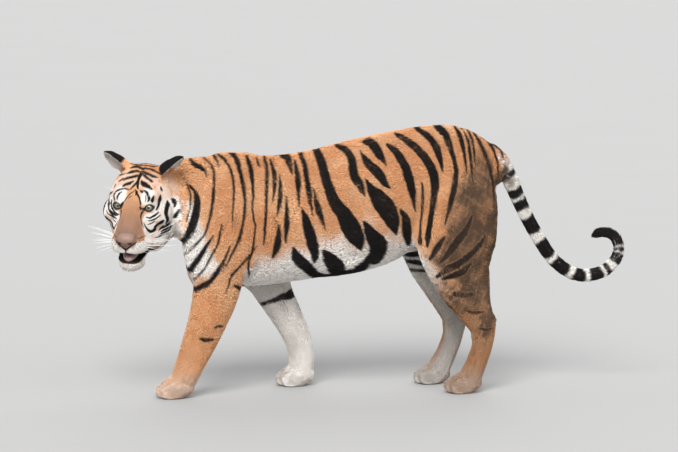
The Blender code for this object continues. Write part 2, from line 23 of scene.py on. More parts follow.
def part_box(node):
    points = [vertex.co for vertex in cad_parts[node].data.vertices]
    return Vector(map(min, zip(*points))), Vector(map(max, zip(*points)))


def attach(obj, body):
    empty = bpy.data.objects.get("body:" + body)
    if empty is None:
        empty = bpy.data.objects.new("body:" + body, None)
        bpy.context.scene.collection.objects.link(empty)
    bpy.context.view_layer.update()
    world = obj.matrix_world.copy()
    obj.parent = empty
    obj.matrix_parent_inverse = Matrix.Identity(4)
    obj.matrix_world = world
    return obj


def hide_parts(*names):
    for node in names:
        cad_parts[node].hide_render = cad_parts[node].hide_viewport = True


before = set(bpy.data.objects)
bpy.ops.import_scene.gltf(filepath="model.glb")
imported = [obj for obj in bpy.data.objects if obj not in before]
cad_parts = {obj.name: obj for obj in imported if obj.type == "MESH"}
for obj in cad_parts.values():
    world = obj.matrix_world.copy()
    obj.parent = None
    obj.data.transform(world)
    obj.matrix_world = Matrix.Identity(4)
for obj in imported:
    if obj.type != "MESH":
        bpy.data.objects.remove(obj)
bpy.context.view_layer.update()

log = logging.getLogger("tiger")

Array = np.ndarray
Row = tuple[float, ...]

SEED = 20261
EYE_RADIUS = 0.0190
EYE_PLACE = (0.080, 0.052, 0.020)
NOSE_TIP = (0.205, 0.0, -0.050)
MOUTH_CORNER = (0.078, -0.112)
SPINE_Y = 0.0517
FACE_NODES = ("head", "lower_jaw", "left_ear", "right_ear", "nose")
FEET = ("left_forepaw", "right_forepaw", "left_hind_foot", "right_hind_foot")


class Side(Enum):
    """A side of the tiger, with its sign on Y."""

    LEFT = -1
    RIGHT = 1

    @property
    def way(self) -> int:
        """The side's sign along the head's own left."""
        return -self.value

    def place(self, left: Row) -> Array:
        """A place or direction of the head's left half, on this side."""
        return np.array(left) * (1.0, self.way, 1.0)

    def has(self, local: Array) -> Array:
        """Which places in the head's axes are on this side."""
        return np.sign(local[:, 1]) == self.way


def ease(value: Array | float, low: float, high: float) -> Array:
    """A smooth step from 0 at low to 1 at high; low may be the larger."""
    t = np.clip((np.asarray(value, float) - low) / (high - low), 0.0, 1.0)
    return t * t * (3.0 - 2.0 * t)


def placed(columns: Array, middle: Array) -> Matrix:
    """A move that takes the axes to the given columns and the origin to a place, as Blender's matrix."""
    whole = np.eye(4)
    whole[:3, :3] = columns
    whole[:3, 3] = middle
    return Matrix(whole.tolist())


def unit(vectors: Array) -> Array:
    """The vectors, each at length one."""
    return vectors / np.maximum(np.linalg.norm(vectors, axis=-1, keepdims=True), 1e-9)


def mix(first: Array, second: Array, share: Array) -> Array:
    """Rows of the first array turning into those of the second by a share for each row."""
    return first + (second - first) * np.asarray(share)[..., None]


def along(rows: Sequence[Row], steps: int) -> Array:
    """Rows at even places on the smooth curve through the given rows.

    Args:
        rows: The rows that the curve passes through.
        steps: How many stretches each gap between two rows is divided into.

    Returns:
        The rows on the curve, the given ones among them.
    """
    given = np.array(rows, float)
    padded = np.vstack([2 * given[0] - given[1], given, 2 * given[-1] - given[-2]])
    made = []
    for k in range(len(given) - 1):
        a, b, c, d = padded[k : k + 4]
        for t in np.arange(steps) / steps:
            slope_in, slope_out = (c - a) / 2, (d - b) / 2
            bend = 3 * (c - b) - 2 * slope_in - slope_out
            made.append(b + t * (slope_in + t * (bend + t * (2 * (b - c) + slope_in + slope_out))))
    return np.array([*made, given[-1]])


class Waves:
    """Smooth wandering values in space, from sine waves of fixed directions."""

    def __init__(self, seed: int, size: float, count: int = 10) -> None:
        """Args: seed fixes the waves, size is the usual width of one swing, count the number of waves."""
        rng = np.random.default_rng(SEED + seed)
        self.turns = unit(rng.normal(size=(count, 3))) * rng.uniform(0.6, 1.6, (count, 1)) * math.pi / size
        self.starts = rng.uniform(0, 2 * math.pi, count)

    def __call__(self, points: Array) -> Array:
        """A value of about -1 to 1 at each point."""
        swings = np.sin(points @ self.turns.T + self.starts)
        return swings.sum(axis=1) / math.sqrt(len(self.starts)) / 1.2


@dataclass(frozen=True)
class HeadAxes:
    """The head's own axes in the frame: forward, left and up, and its middle, found from the two eyes."""

    yaw: float = 248.0
    pitch: float = 20.5
    roll: float = -2.5
    scale: float = 1.12
    shift: Row = (-0.0061, 0.0006, -0.0018)

    @property
    def turn(self) -> Array:
        """The axes as the columns of a turning matrix."""
        spin = Matrix.Rotation(math.radians(self.yaw), 3, "Z")
        spin = spin @ Matrix.Rotation(math.radians(self.pitch), 3, "Y")
        return np.array(spin @ Matrix.Rotation(math.radians(self.roll), 3, "X"))

    @property
    def middle(self) -> Array:
        """The head's middle in the frame."""
        corners = [np.array(corner) for name in ("left_eye", "right_eye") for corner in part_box(name)]
        eyes = sum(corners) / 4
        return eyes + self.shift - self.turn @ np.array([EYE_PLACE[0], 0.0, EYE_PLACE[2]]) * self.scale

    def out(self, local: Array) -> Array:
        """Places given in the head's axes, in the frame."""
        return np.asarray(local, float) @ self.turn.T * self.scale + self.middle

    def into(self, points: Array) -> Array:
        """Places given in the frame, in the head's axes."""
        return (np.asarray(points, float) - self.middle) @ self.turn / self.scale

    @property
    def matrix(self) -> Matrix:
        """The move from the head's axes to the frame."""
        return placed(self.turn * self.scale, self.middle)


@dataclass(frozen=True)
class TailLine:
    """The middle line of the tail, from its root to its tip."""

    places: tuple[Row, ...] = (
        (0.451, 0.0517, 0.872),
        (0.498, 0.0517, 0.843),
        (0.533, 0.0517, 0.786),
        (0.567, 0.0517, 0.710),
        (0.604, 0.0557, 0.633),
        (0.651, 0.0597, 0.550),
        (0.703, 0.0637, 0.475),
        (0.771, 0.0657, 0.424),
        (0.836, 0.0657, 0.413),
        (0.898, 0.0637, 0.431),
        (0.938, 0.0597, 0.471),
        (0.949, 0.0537, 0.518),
        (0.931, 0.0477, 0.560),
        (0.896, 0.0437, 0.577),
        (0.866, 0.0417, 0.573),
        (0.850, 0.0417, 0.561),
    )
    steps: int = 12

    def nearest(self, points: Array) -> tuple[Array, Array, Array, Array]:
        """Where each point is along the tail.

        Args:
            points: Places in the frame.

        Returns:
            The length along the line from its root, the distance from it, its direction there, and its place.
        """
        line = along(self.places, self.steps)
        gaps = np.diff(line, axis=0)
        lengths = np.linalg.norm(gaps, axis=1)
        starts = np.concatenate([[0.0], np.cumsum(lengths)[:-1]])
        best = np.full(len(points), np.inf)
        place_of = np.zeros(len(points))
        heading = np.zeros((len(points), 3))
        foot = np.zeros((len(points), 3))
        for start, gap, length, offset in zip(line, gaps, lengths, starts):
            part = np.clip((points - start) @ gap / length**2, 0.0, 1.0)
            near = start + part[:, None] * gap
            apart = np.linalg.norm(points - near, axis=1)
            closer = apart < best
            best[closer] = apart[closer]
            place_of[closer] = offset + part[closer] * length
            heading[closer] = gap / length
            foot[closer] = near[closer]
        return place_of, best, heading, foot


HEAD = HeadAxes()
TAIL = TailLine()


# ---- materials


class Value:
    """A socket of a node tree, with the usual maths as operators."""

    def __init__(self, sketch: Sketch, socket: bpy.types.NodeSocket) -> None:
        """Args: the tree's sketch, and the socket."""
        self.sketch = sketch
        self.socket = socket

    def _math(self, kind: str, first: Value | float, second: Value | float) -> Value:
        """One Math node on two values."""
        return self.sketch.node("ShaderNodeMath", {"operation": kind}, {0: first, 1: second})

    def __add__(self, other: Value | float) -> Value:
        """The sum."""
        return self._math("ADD", self, other)

    def __rsub__(self, other: float) -> Value:
        """What is left of a number."""
        return self._math("SUBTRACT", other, self)

    def __mul__(self, other: Value | float) -> Value:
        """The product."""
        return self._math("MULTIPLY", self, other)

    __radd__ = __add__
    __rmul__ = __mul__

    def step(self, low: float, high: float) -> Value:
        """A smooth step from 0 at low to 1 at high."""
        inputs = {"Value": self, "From Min": low, "From Max": high}
        return self.sketch.node("ShaderNodeMapRange", {"interpolation_type": "SMOOTHSTEP"}, inputs)


Colour = tuple[float, float, float]
Inputs = dict[str | int, object]


class Sketch:
    """A node tree while it is drawn."""

    def __init__(self, tree: bpy.types.NodeTree) -> None:
        """Args: the tree."""
        self.tree = tree

    def node(
        self, kind: str, settings: Inputs | None = None, inputs: Inputs | None = None, output: str | int = 0
    ) -> Value:
        """Adds a node.

        Args:
            kind: The node's type.
            settings: Its properties, set first.
            inputs: Values or links of its sockets, by name or number.
            output: The socket to go on from.

        Returns:
            The output socket.
        """
        made = self.tree.nodes.new(kind)
        for key, value in (settings or {}).items():
            setattr(made, key, value)
        for key, value in (inputs or {}).items():
            self.link(made.inputs[key], value)
        return Value(self, made.outputs[output])

    def link(self, socket: bpy.types.NodeSocket, value: object) -> None:
        """Links a socket to a value, or sets it to a number, a colour or the like."""
        if isinstance(value, Value):
            self.tree.links.new(value.socket, socket)
        elif socket.type == "RGBA" and len(value) == 3:
            socket.default_value = (*value, 1.0)
        else:
            socket.default_value = value


class MaterialSketch(Sketch):
    """A material's node tree while it is drawn."""

    def __init__(self, name: str, slot: str) -> None:
        """Args: name of the material, and the record's slot whose finish it is."""
        self.material = bpy.data.materials.new(name)
        self.material.use_nodes = True
        self.material["slot"] = slot
        super().__init__(self.material.node_tree)
        self.shader = self.tree.nodes["Principled BSDF"]

    def attribute(self, name: str) -> Value:
        """A number kept on the mesh."""
        return self.node("ShaderNodeAttribute", {"attribute_name": name}, output="Fac")

    def place(self) -> Value:
        """The place on the object."""
        return self.node("ShaderNodeTexCoord", output="Object")

    def blend(self, share: Value | float, first: Value | Colour, second: Value | Colour) -> Value:
        """Two colours mixed by a share."""
        settings = {"data_type": "RGBA", "blend_type": "MIX", "clamp_factor": True}
        return self.node("ShaderNodeMix", settings, {0: share, 6: first, 7: second}, output=2)

    def noise(self, scale: float, detail: float = 3.0, rough: float = 0.5, at: Value | None = None) -> Value:
        """Cloudy noise of about 0 to 1."""
        inputs = {"Vector": at or self.place(), "Scale": scale, "Detail": detail, "Roughness": rough}
        return self.node("ShaderNodeTexNoise", inputs=inputs)

    def finished(
        self, colour: Value | Colour, bump: Value | None = None, depth: float = 0.001, **sockets: object
    ) -> bpy.types.Material:
        """Sets the shader.

        Args:
            colour: The base colour.
            bump: The height of the fine relief, from 0 to 1.
            depth: The depth of that relief in metres.
            sockets: Other sockets, with _ for a blank in the name.

        Returns:
            The material.
        """
        self.link(self.shader.inputs["Base Color"], colour)
        if bump is not None:
            inputs = {"Height": bump, "Distance": depth, "Strength": 1.0}
            self.link(self.shader.inputs["Normal"], self.node("ShaderNodeBump", inputs=inputs))
        for key, value in sockets.items():
            self.link(self.shader.inputs[key.replace("_", " ")], value)
        return self.material


@dataclass(frozen=True)
class CoatFinish:
    """The coat's colours, the same on the skin and on the tufts."""

    orange: Colour = (0.73, 0.355, 0.165)
    deep_orange: Colour = (0.60, 0.260, 0.108)
    sandy: Colour = (0.82, 0.480, 0.260)
    rosy: Colour = (0.32, 0.195, 0.138)
    white: Colour = (0.93, 0.885, 0.83)
    grey_white: Colour = (0.72, 0.67, 0.61)
    black: Colour = (0.006, 0.005, 0.005)
    soft_black: Colour = (0.018, 0.012, 0.010)
    # The brown of dried dirt, also used as painted shade on the lower hind legs.
    mud: Colour = (0.125, 0.075, 0.046)
    lip: Colour = (0.008, 0.006, 0.006)
    # Painted shade: the skin between the tufts keeps only this share of its colour, as the gaps in the coat
    # lie in shade.
    skin_light: float = 0.72
    gloss: float = 0.18

    def draw(self, name: str, on_tufts: bool) -> bpy.types.Material:
        """Draws the material.

        Args:
            name: The material's name.
            on_tufts: Whether it colours the tufts, with painted shade at the root, or the skin between them,
                all in painted shade.

        Returns:
            The material.
        """
        sketch = MaterialSketch(name, "coat_orange")
        stripe, bare = sketch.attribute("stripe"), sketch.attribute("bare")
        clouds = sketch.noise(9.0, 4.0, 0.6)
        orange = sketch.blend(clouds.step(0.35, 0.70), self.orange, self.sandy)
        orange = sketch.blend(sketch.attribute("rust"), orange, self.deep_orange)
        orange = sketch.blend(sketch.attribute("rosy"), orange, self.rosy)
        white = sketch.blend(clouds.step(0.45, 0.75), self.white, self.grey_white)
        ground = sketch.blend(sketch.attribute("pale"), orange, white)
        black = sketch.blend(sketch.noise(420.0, 2.0, 0.6).step(0.40, 0.75), self.black, self.soft_black)
        coat = sketch.blend(stripe, ground, black)
        # Dried dirt, and painted shade on the lower hind legs, turn the coat a dull brown.
        coat = sketch.blend(sketch.attribute("soil") * (1.0 - 0.70 * stripe), coat, self.mud)
        # Painted shade: the tufts darken towards their roots and sides, and the skin between them is darkened
        # all over.
        light = sketch.attribute("shade").step(0.0, 1.0) if on_tufts else self.skin_light
        coat = sketch.blend(light, (0.0, 0.0, 0.0), coat)
        # Bare skin is black: lips, eye rims, skin under the leather, and painted shade under the lower lip.
        coat = sketch.blend(bare, coat, self.lip)
        if on_tufts:
            return sketch.finished(coat, Roughness=0.66, Specular_IOR_Level=self.gloss)
        relief = sketch.blend(bare, sketch.noise(700.0, 3.0, 0.65), sketch.noise(900.0, 3.0, 0.6))
        return sketch.finished(coat, relief, Roughness=0.72 - 0.30 * bare, Specular_IOR_Level=self.gloss)


@dataclass(frozen=True)
class NoseFinish:
    """Bare pebbled leather, pink with darker freckles, with painted shade in the nostrils and along the
    groove.
    """

    pink: Colour = (0.215, 0.130, 0.095)
    brown: Colour = (0.15, 0.090, 0.066)
    # Painted shade in the nostrils and along the groove.
    dark: Colour = (0.012, 0.008, 0.007)

    def draw(self) -> bpy.types.Material:
        """Draws the material."""
        sketch = MaterialSketch("nose_leather", "nose_leather")
        freckles = sketch.noise(260.0, 3.0, 0.6).step(0.52, 0.72)
        colour = sketch.blend(freckles * 0.55, self.pink, self.brown)
        # Painted shade: "deep" darkens the nostril pits and the groove.
        colour = sketch.blend(sketch.attribute("deep"), colour, self.dark)
        inputs = {"Vector": sketch.place(), "Scale": 520.0, "Randomness": 0.9}
        pebbles = sketch.node("ShaderNodeTexVoronoi", {"feature": "F1"}, inputs)
        rough = 0.42 + 0.16 * sketch.noise(90.0)
        return sketch.finished(colour, 1.0 - pebbles, 0.0006, Roughness=rough, Specular_IOR_Level=0.5)


@dataclass(frozen=True)
class MouthFinish:
    """Moist flesh, with painted shade that darkens it towards the throat."""

    name: str
    pink: Colour
    # Painted shade deep in the mouth.
    dark: Colour

    def draw(self) -> bpy.types.Material:
        """Draws the material."""
        sketch = MaterialSketch(self.name, "mouth_flesh")
        clouds = sketch.noise(120.0, 4.0, 0.6)
        # Painted shade: the flesh darkens deeper into the mouth.
        inward = sketch.attribute("deep") + 0.35 * clouds
        colour = sketch.blend(inward.step(0.25, 1.1), self.pink, self.dark)
        inputs = {"Vector": sketch.place(), "Scale": 700.0}
        papillae = sketch.node("ShaderNodeTexVoronoi", {"feature": "SMOOTH_F1"}, inputs)
        rough = 0.30 + 0.25 * clouds
        return sketch.finished(colour, 1.0 - papillae, 0.0007, Roughness=rough, Specular_IOR_Level=0.5)


@dataclass(frozen=True)
class EyeFinish:
    """A clear eye: a black pupil, a greenish amber iris with fine spokes, and a dark rim."""

    pupil: Colour = (0.004, 0.004, 0.004)
    inner: Colour = (0.20, 0.185, 0.105)
    outer: Colour = (0.10, 0.095, 0.055)
    rim: Colour = (0.018, 0.013, 0.009)
    sclera: Colour = (0.34, 0.24, 0.18)
    spoke: Colour = (0.040, 0.042, 0.024)

    def draw(self) -> bpy.types.Material:
        """Draws the material. "out" is 0 at the pupil's middle and 1 at the iris's edge."""
        sketch = MaterialSketch("eye", "eye")
        out = sketch.attribute("out")
        turn = sketch.node("ShaderNodeUVMap", {"uv_map": "spokes"})
        spokes = sketch.noise(26.0, 3.0, 0.7, at=turn)
        iris = sketch.blend((out + 0.5 * spokes).step(0.55, 1.15), self.inner, self.outer)
        iris = sketch.blend(spokes.step(0.45, 0.75), iris, self.spoke)
        colour = sketch.blend(out.step(0.32, 0.37), self.pupil, iris)
        colour = sketch.blend(out.step(0.66, 0.88), colour, self.rim)
        colour = sketch.blend(out.step(1.20, 1.50), colour, self.sclera)
        wet = {"Coat_Weight": 1.0, "Coat_Roughness": 0.02}
        return sketch.finished(colour, Roughness=0.10, Specular_IOR_Level=0.5, **wet)


@dataclass(frozen=True)
class HornFinish:
    """Whiskers and claws: pale at the root or dark, slightly glossy."""

    name: str
    root: Colour
    tip: Colour
    rough: float = 0.38

    def draw(self) -> bpy.types.Material:
        """Draws the material. The attribute "deep" is 1 at the root."""
        sketch = MaterialSketch(self.name, "coat_pale")
        grain = sketch.noise(600.0, 2.0, 0.5)
        colour = sketch.blend(sketch.attribute("deep"), self.tip, self.root)
        colour = sketch.blend(grain * 0.35, colour, self.root)
        return sketch.finished(colour, grain, 0.0003, Roughness=self.rough)


# ---- markings


Marks = tuple[tuple[Row, ...], ...]

# All marks are in thousandths, of a metre on the body and of the head's unit on the head.
# Stripes of the flank as seen from the side: x, z and width along each.
NECK_STRIPES: Marks = (
    ((-660, 780, 7), (-640, 755, 15), (-635, 715, 23), (-645, 670, 27), (-660, 620, 25), (-680, 580, 16),
     (-690, 555, 8)),
    ((-670, 790, 4), (-660, 750, 6), (-665, 695, 6), (-675, 655, 5)),
    ((-655, 870, 10), (-640, 850, 15), (-620, 840, 14), (-605, 830, 10), (-600, 810, 4)),
    ((-605, 870, 5), (-580, 850, 7), (-570, 820, 10), (-575, 755, 10), (-585, 685, 9), (-610, 610, 8),
     (-645, 570, 7), (-680, 530, 5)),
    ((-570, 880, 5), (-560, 870, 10), (-550, 845, 4)),
)
SHOULDER_STRIPES: Marks = (
    ((-560, 885, 5), (-530, 870, 10), (-505, 825, 10), (-500, 765, 8), (-505, 710, 7), (-510, 655, 3)),
    ((-510, 890, 12), (-485, 870, 15), (-470, 805, 14), (-460, 740, 12), (-465, 665, 10),
     (-485, 590, 10), (-520, 520, 8), (-550, 470, 3)),
    ((-445, 875, 11), (-435, 830, 16), (-430, 760, 10), (-435, 695, 7), (-425, 620, 8), (-435, 550, 8),
     (-450, 495, 8), (-445, 440, 4)),
    ((-580, 605, 5), (-605, 565, 11), (-640, 510, 19), (-665, 465, 14), (-680, 440, 6)),
    ((-550, 645, 5), (-560, 590, 8), (-585, 535, 8), (-615, 480, 8), (-645, 440, 5)),
    ((-520, 565, 5), (-545, 505, 12), (-585, 445, 18), (-620, 415, 20), (-660, 400, 18)),
    ((-420, 560, 4), (-465, 505, 8), (-515, 455, 10), (-525, 420, 6), (-535, 390, 4)),
    ((-505, 420, 7), (-480, 405, 14), (-460, 400, 8)),
)
BARREL_STRIPES: Marks = (
    ((-410, 870, 7), (-405, 850, 10), (-400, 840, 3)),
    ((-380, 870, 10), (-375, 830, 14), (-380, 760, 12), (-385, 680, 11), (-390, 615, 10), (-395, 565, 4)),
    ((-360, 865, 7), (-350, 825, 15), (-350, 780, 14), (-360, 725, 4)),
    ((-330, 815, 5), (-330, 765, 16), (-335, 720, 15), (-345, 670, 4)),
    ((-310, 740, 5), (-310, 685, 16), (-310, 635, 18), (-315, 575, 7)),
    ((-340, 640, 5), (-340, 600, 19), (-345, 555, 23), (-360, 515, 7)),
    ((-315, 880, 20), (-295, 870, 23), (-290, 845, 18), (-285, 820, 7)),
    ((-270, 860, 7), (-265, 810, 18), (-265, 760, 15), (-265, 705, 4)),
    ((-245, 880, 16), (-235, 840, 16), (-230, 785, 18), (-225, 735, 16), (-215, 670, 4)),
    ((-255, 700, 5), (-240, 655, 26), (-220, 585, 39), (-205, 525, 27), (-205, 495, 10)),
    ((-210, 765, 5), (-200, 715, 17), (-185, 665, 18), (-170, 620, 5)),
    ((-285, 550, 12), (-270, 515, 36), (-230, 475, 38), (-190, 440, 29), (-155, 437, 20)),
    ((-190, 900, 25), (-175, 860, 30), (-160, 790, 33), (-135, 720, 40), (-95, 665, 53), (-70, 615, 63),
     (-45, 575, 45), (-38, 545, 14)),
    ((-175, 540, 11), (-155, 515, 38), (-125, 477, 57), (-105, 445, 41)),
    ((-190, 442, 20), (-140, 437, 22), (-85, 447, 25), (-40, 460, 34), (-10, 490, 31), (0, 520, 14)),
    ((-115, 910, 8), (-85, 900, 22), (-65, 870, 27), (-60, 815, 30), (-40, 780, 27), (-25, 740, 5)),
    ((-15, 925, 11), (15, 920, 31), (35, 890, 31), (60, 850, 7)),
    ((-30, 895, 7), (-10, 860, 26), (25, 825, 33), (50, 790, 26), (70, 765, 5)),
    ((-20, 800, 5), (5, 760, 34), (40, 715, 62), (70, 670, 59), (85, 630, 37), (95, 595, 7)),
    ((-25, 645, 14), (0, 600, 41), (30, 555, 63), (27, 515, 49), (13, 490, 18)),
    ((110, 690, 7), (130, 650, 29), (137, 600, 33), (145, 560, 20)),
)
RUMP_STRIPES: Marks = (
    ((70, 917, 12), (100, 893, 25), (128, 846, 30), (146, 788, 32), (157, 730, 18), (166, 680, 5)),
    ((105, 953, 9), (135, 937, 22), (180, 902, 26), (220, 848, 31), (238, 790, 30), (232, 722, 21),
     (220, 650, 17), (212, 585, 17), (209, 552, 9)),
    ((190, 787, 5), (193, 728, 12), (190, 662, 9), (186, 603, 9), (187, 563, 13)),
    ((180, 973, 11), (215, 952, 21), (246, 914, 24), (260, 864, 18), (267, 826, 5)),
    ((256, 979, 17), (286, 953, 26), (302, 900, 18), (317, 838, 16), (311, 773, 22), (293, 710, 18),
     (272, 633, 5)),
    ((328, 973, 11), (342, 940, 16), (350, 880, 12), (357, 814, 3)),
    ((352, 970, 5), (368, 930, 10), (375, 862, 11), (380, 780, 5)),
    ((374, 964, 5), (386, 926, 11), (389, 855, 5)),
    ((396, 954, 9), (417, 915, 13), (440, 852, 14), (455, 780, 13), (457, 685, 4)),
    ((427, 936, 8), (456, 915, 12), (475, 862, 9), (482, 789, 5)),
    ((466, 914, 11), (492, 899, 14), (504, 856, 4)),
)
THIGH_STRIPES: Marks = (
    ((370, 665, 11), (350, 616, 22), (312, 567, 30), (274, 514, 20), (250, 487, 9)),
    ((270, 587, 11), (244, 547, 21), (220, 506, 11)),
    ((420, 590, 9), (390, 545, 22), (333, 497, 25), (275, 464, 25), (247, 440, 13)),
    ((366, 486, 13), (327, 454, 28), (270, 433, 13)),
    ((310, 376, 18), (340, 370, 20), (370, 372, 18)),
    ((360, 310, 6), (385, 302, 14), (420, 306, 6)),
    ((400, 245, 5), (430, 238, 12), (455, 243, 5)),
)
FORELEG_MARKS: Marks = (
    ((-580, 262, 4), (-562, 268, 10), (-545, 266, 5)),
    ((-630, 226, 8), (-607, 218, 14), (-582, 220, 8)),
)
FAR_INNER_MARKS: Marks = (
    ((-400, 300, 12), (-386, 308, 14), (-321, 335, 23), (-278, 346, 34), (-240, 360, 36)),
    ((90, 500, 12), (115, 499, 18), (180, 495, 24), (250, 500, 16)),
    ((140, 468, 10), (193, 464, 19), (250, 453, 16)),
    ((150, 438, 8), (188, 432, 14), (250, 433, 14)),
    ((120, 535, 20), (170, 530, 30), (220, 528, 22)),
)
# Marks of the face: left, up and width on a plane square to FACE_DRAWN_FROM, through the head's middle
FOREHEAD_MARKS: Marks = (
    ((-44, 101, 4), (-34, 105, 6), (-21, 106, 7), (-9, 102, 7), (-1, 98, 4)),
    ((-6, 104, 2), (4, 103, 5), (19, 102, 6), (35, 97, 6), (47, 93, 5), (58, 88, 2)),
    ((-59, 82, 2), (-49, 85, 6), (-36, 90, 7), (-23, 93, 6), (-12, 91, 3)),
    ((-7, 93, 4), (4, 89, 7), (18, 84, 7), (31, 80, 7), (45, 77, 2)),
    ((-77, 75, 2), (-69, 79, 4), (-61, 82, 2)),
    ((-65, 61, 2), (-55, 67, 7), (-41, 72, 7), (-28, 76, 7), (-16, 80, 4)),
    ((-6, 85, 5), (3, 79, 7), (14, 71, 7), (24, 65, 7), (30, 62, 2)),
    ((-79, 55, 2), (-72, 60, 5), (-63, 68, 2)),
    ((-68, 40, 2), (-57, 47, 8), (-44, 52, 9), (-32, 60, 4)),
    ((-8, 64, 3), (-1, 55, 13), (11, 49, 12), (24, 42, 7), (30, 37, 2)),
    ((-10, 91, 4), (-11, 81, 9), (-15, 71, 8), (-17, 61, 7), (-18, 49, 8), (-16, 38, 4)),
    ((-17, 68, 2), (-24, 54, 5), (-31, 45, 5), (-39, 36, 3)),
    ((-24, 33, 3), (-20, 26, 7), (-21, 17, 4)),
    ((-9, 32, 4), (-3, 29, 7), (2, 31, 3)),
    ((4, 33, 4), (12, 28, 7), (18, 19, 7), (22, 7, 7), (19, -1, 3)),
    ((9, 18, 2), (12, 9, 2), (10, -1, 2)),
    ((36, 19, 2), (34, 11, 8), (32, 3, 9), (33, -1, 4)),
    ((56, 21, 5), (55, 10, 10), (54, -2, 8), (53, -14, 7), (49, -26, 4)),
    ((-88, -4, 3), (-91, 8, 4), (-88, 20, 5), (-79, 28, 5), (-66, 33, 5), (-53, 34, 4), (-40, 32, 2)),
    ((-106, -8, 3), (-107, 5, 5), (-102, 16, 5), (-94, 24, 2)),
    ((-27, 30, 2), (-39, 19, 3), (-47, 10, 3), (-54, -1, 3), (-60, -15, 2), (-64, -29, 3)),
    ((-23, 29, 3), (-17, 20, 5), (-11, 10, 5), (-6, -2, 4), (-4, -15, 4), (-4, -29, 3)),
    ((-45, 2, 1), (-39, 10, 2), (-32, 13, 1)),
    ((-98, -5, 3), (-98, -19, 4), (-93, -34, 5), (-82, -46, 5), (-70, -50, 3)),
    ((-106, -8, 3), (-107, -23, 5), (-102, -39, 6), (-92, -53, 5), (-78, -65, 2)),
    ((-41, -160, 3), (-41, -172, 3)),
    ((-78, -130, 1), (-70, -139, 3), (-57, -150, 4), (-41, -161, 5)),
    ((-9, -129, 1), (-14, -139, 4), (-27, -148, 4), (-42, -160, 5)),
    ((-4, -22, 6), (4, -26, 9), (10, -27, 5)),
    ((-60, -10, 5), (-65, -18, 8), (-68, -24, 5)),
    ((-81, -3, 2), (-80, 8, 4), (-75, 18, 4), (-66, 24, 2)),
)
# Those of the left cheek, which the right one has too
CHEEK_MARKS: Marks = (
    ((8, -30, 3), (4, -34, 5), (0, -45, 4), (0, -60, 3), (5, -74, 2), (12, -87, 2)),
    ((17, -52, 3), (29, -53, 5), (43, -45, 6), (54, -34, 5)),
    ((23, -63, 2), (36, -61, 4), (50, -53, 4), (63, -41, 2)),
    ((21, -75, 1), (32, -72, 3), (45, -63, 2)),
    ((11, -71, 2), (17, -83, 4), (25, -92, 6), (35, -97, 8), (46, -91, 8), (48, -81, 7), (56, -71, 6),
     (67, -63, 8), (73, -58, 4)),
    ((79, 5, 4), (81, -6, 11), (79, -23, 11), (80, -39, 10), (85, -53, 8), (85, -69, 10), (78, -82, 8),
     (69, -96, 4)),
    ((91, 14, 4), (99, 7, 13), (103, -3, 11), (101, -14, 4)),
    ((120, -18, 4), (113, -31, 10), (107, -40, 11), (99, -46, 4)),
    ((55, 48, 3), (58, 41, 7), (62, 34, 2)),
    ((96, -72, 5), (87, -84, 10), (76, -97, 9), (63, -110, 6), (47, -116, 2)),
    ((60, -93, 2), (66, -85, 6), (74, -76, 6)),
    ((-8, -124, 1), (6, -118, 2), (20, -111, 1)),
)
# Those of the crown, seen from above
CROWN_MARKS: Marks = (
    ((50, 45, 6), (20, 40, 10), (-10, 40, 10), (-45, 45, 6)),
    ((45, 70, 6), (0, 68, 12), (-45, 70, 6)),
)
# White of the face, on both sides: place, radii and how white
WHITE_PATCHES: tuple[tuple[Row, Row, float], ...] = (
    ((78, 46, 56), (50, 24, 24), 1.0),
    ((100, 62, -4), (40, 30, 13), 1.0),
    ((118, 58, -34), (36, 24, 30), 0.9),
    ((40, 105, -20), (60, 40, 60), 1.0),
    ((30, 85, -90), (85, 50, 45), 1.0),
    ((165, 48, -78), (55, 30, 24), 1.0),
    ((190, 0, -92), (60, 50, 22), 1.0),
    ((130, 0, -150), (100, 75, 45), 0.9),
    ((0, 0, -140), (150, 120, 55), 1.0),
    ((40, 40, 90), (50, 45, 18), 0.38),
    ((72, 76, 20), (30, 20, 26), 0.9),
    ((38, 88, 50), (42, 30, 38), 0.55),
    ((-35, 100, 55), (32, 40, 36), 0.35),
)
# Black rings of the tail, from and to a length along it
TAIL_RINGS: tuple[Row, ...] = (
    (0.095, 0.120), (0.165, 0.197), (0.212, 0.252), (0.282, 0.349), (0.387, 0.456), (0.478, 0.548),
    (0.571, 0.615), (0.637, 0.683), (0.696, 0.719), (0.740, 0.784), (0.789, 0.808), (0.812, 1.2),
)
# Mud on the left thigh and hock: x, z and width
MUD: tuple[Row, ...] = (
    (435, 860, 80), (430, 760, 175), (412, 660, 230), (390, 580, 255), (390, 500, 260), (410, 400, 240),
    (430, 300, 150), (445, 240, 70),
)
# The front of each row of whiskers
WHISKER_ROWS: tuple[Row, ...] = ((190, 32, -58), (190, 34, -65), (187, 36, -73), (181, 37, -81))
FACE_DRAWN_FROM = (0.839, 0.304, 0.45)


def whisker_roots(way: int) -> Array:
    """Roots of one side's whiskers in the head's axes, five in a row from front to back."""
    k = np.arange(5)
    back = np.stack([-0.0105 * k, 0.005 * k - 0.0005 * k * k, 0.001 * k], axis=1)
    return np.concatenate([(np.array(row) / 1000 + back) * (1, way, 1) for row in WHISKER_ROWS])


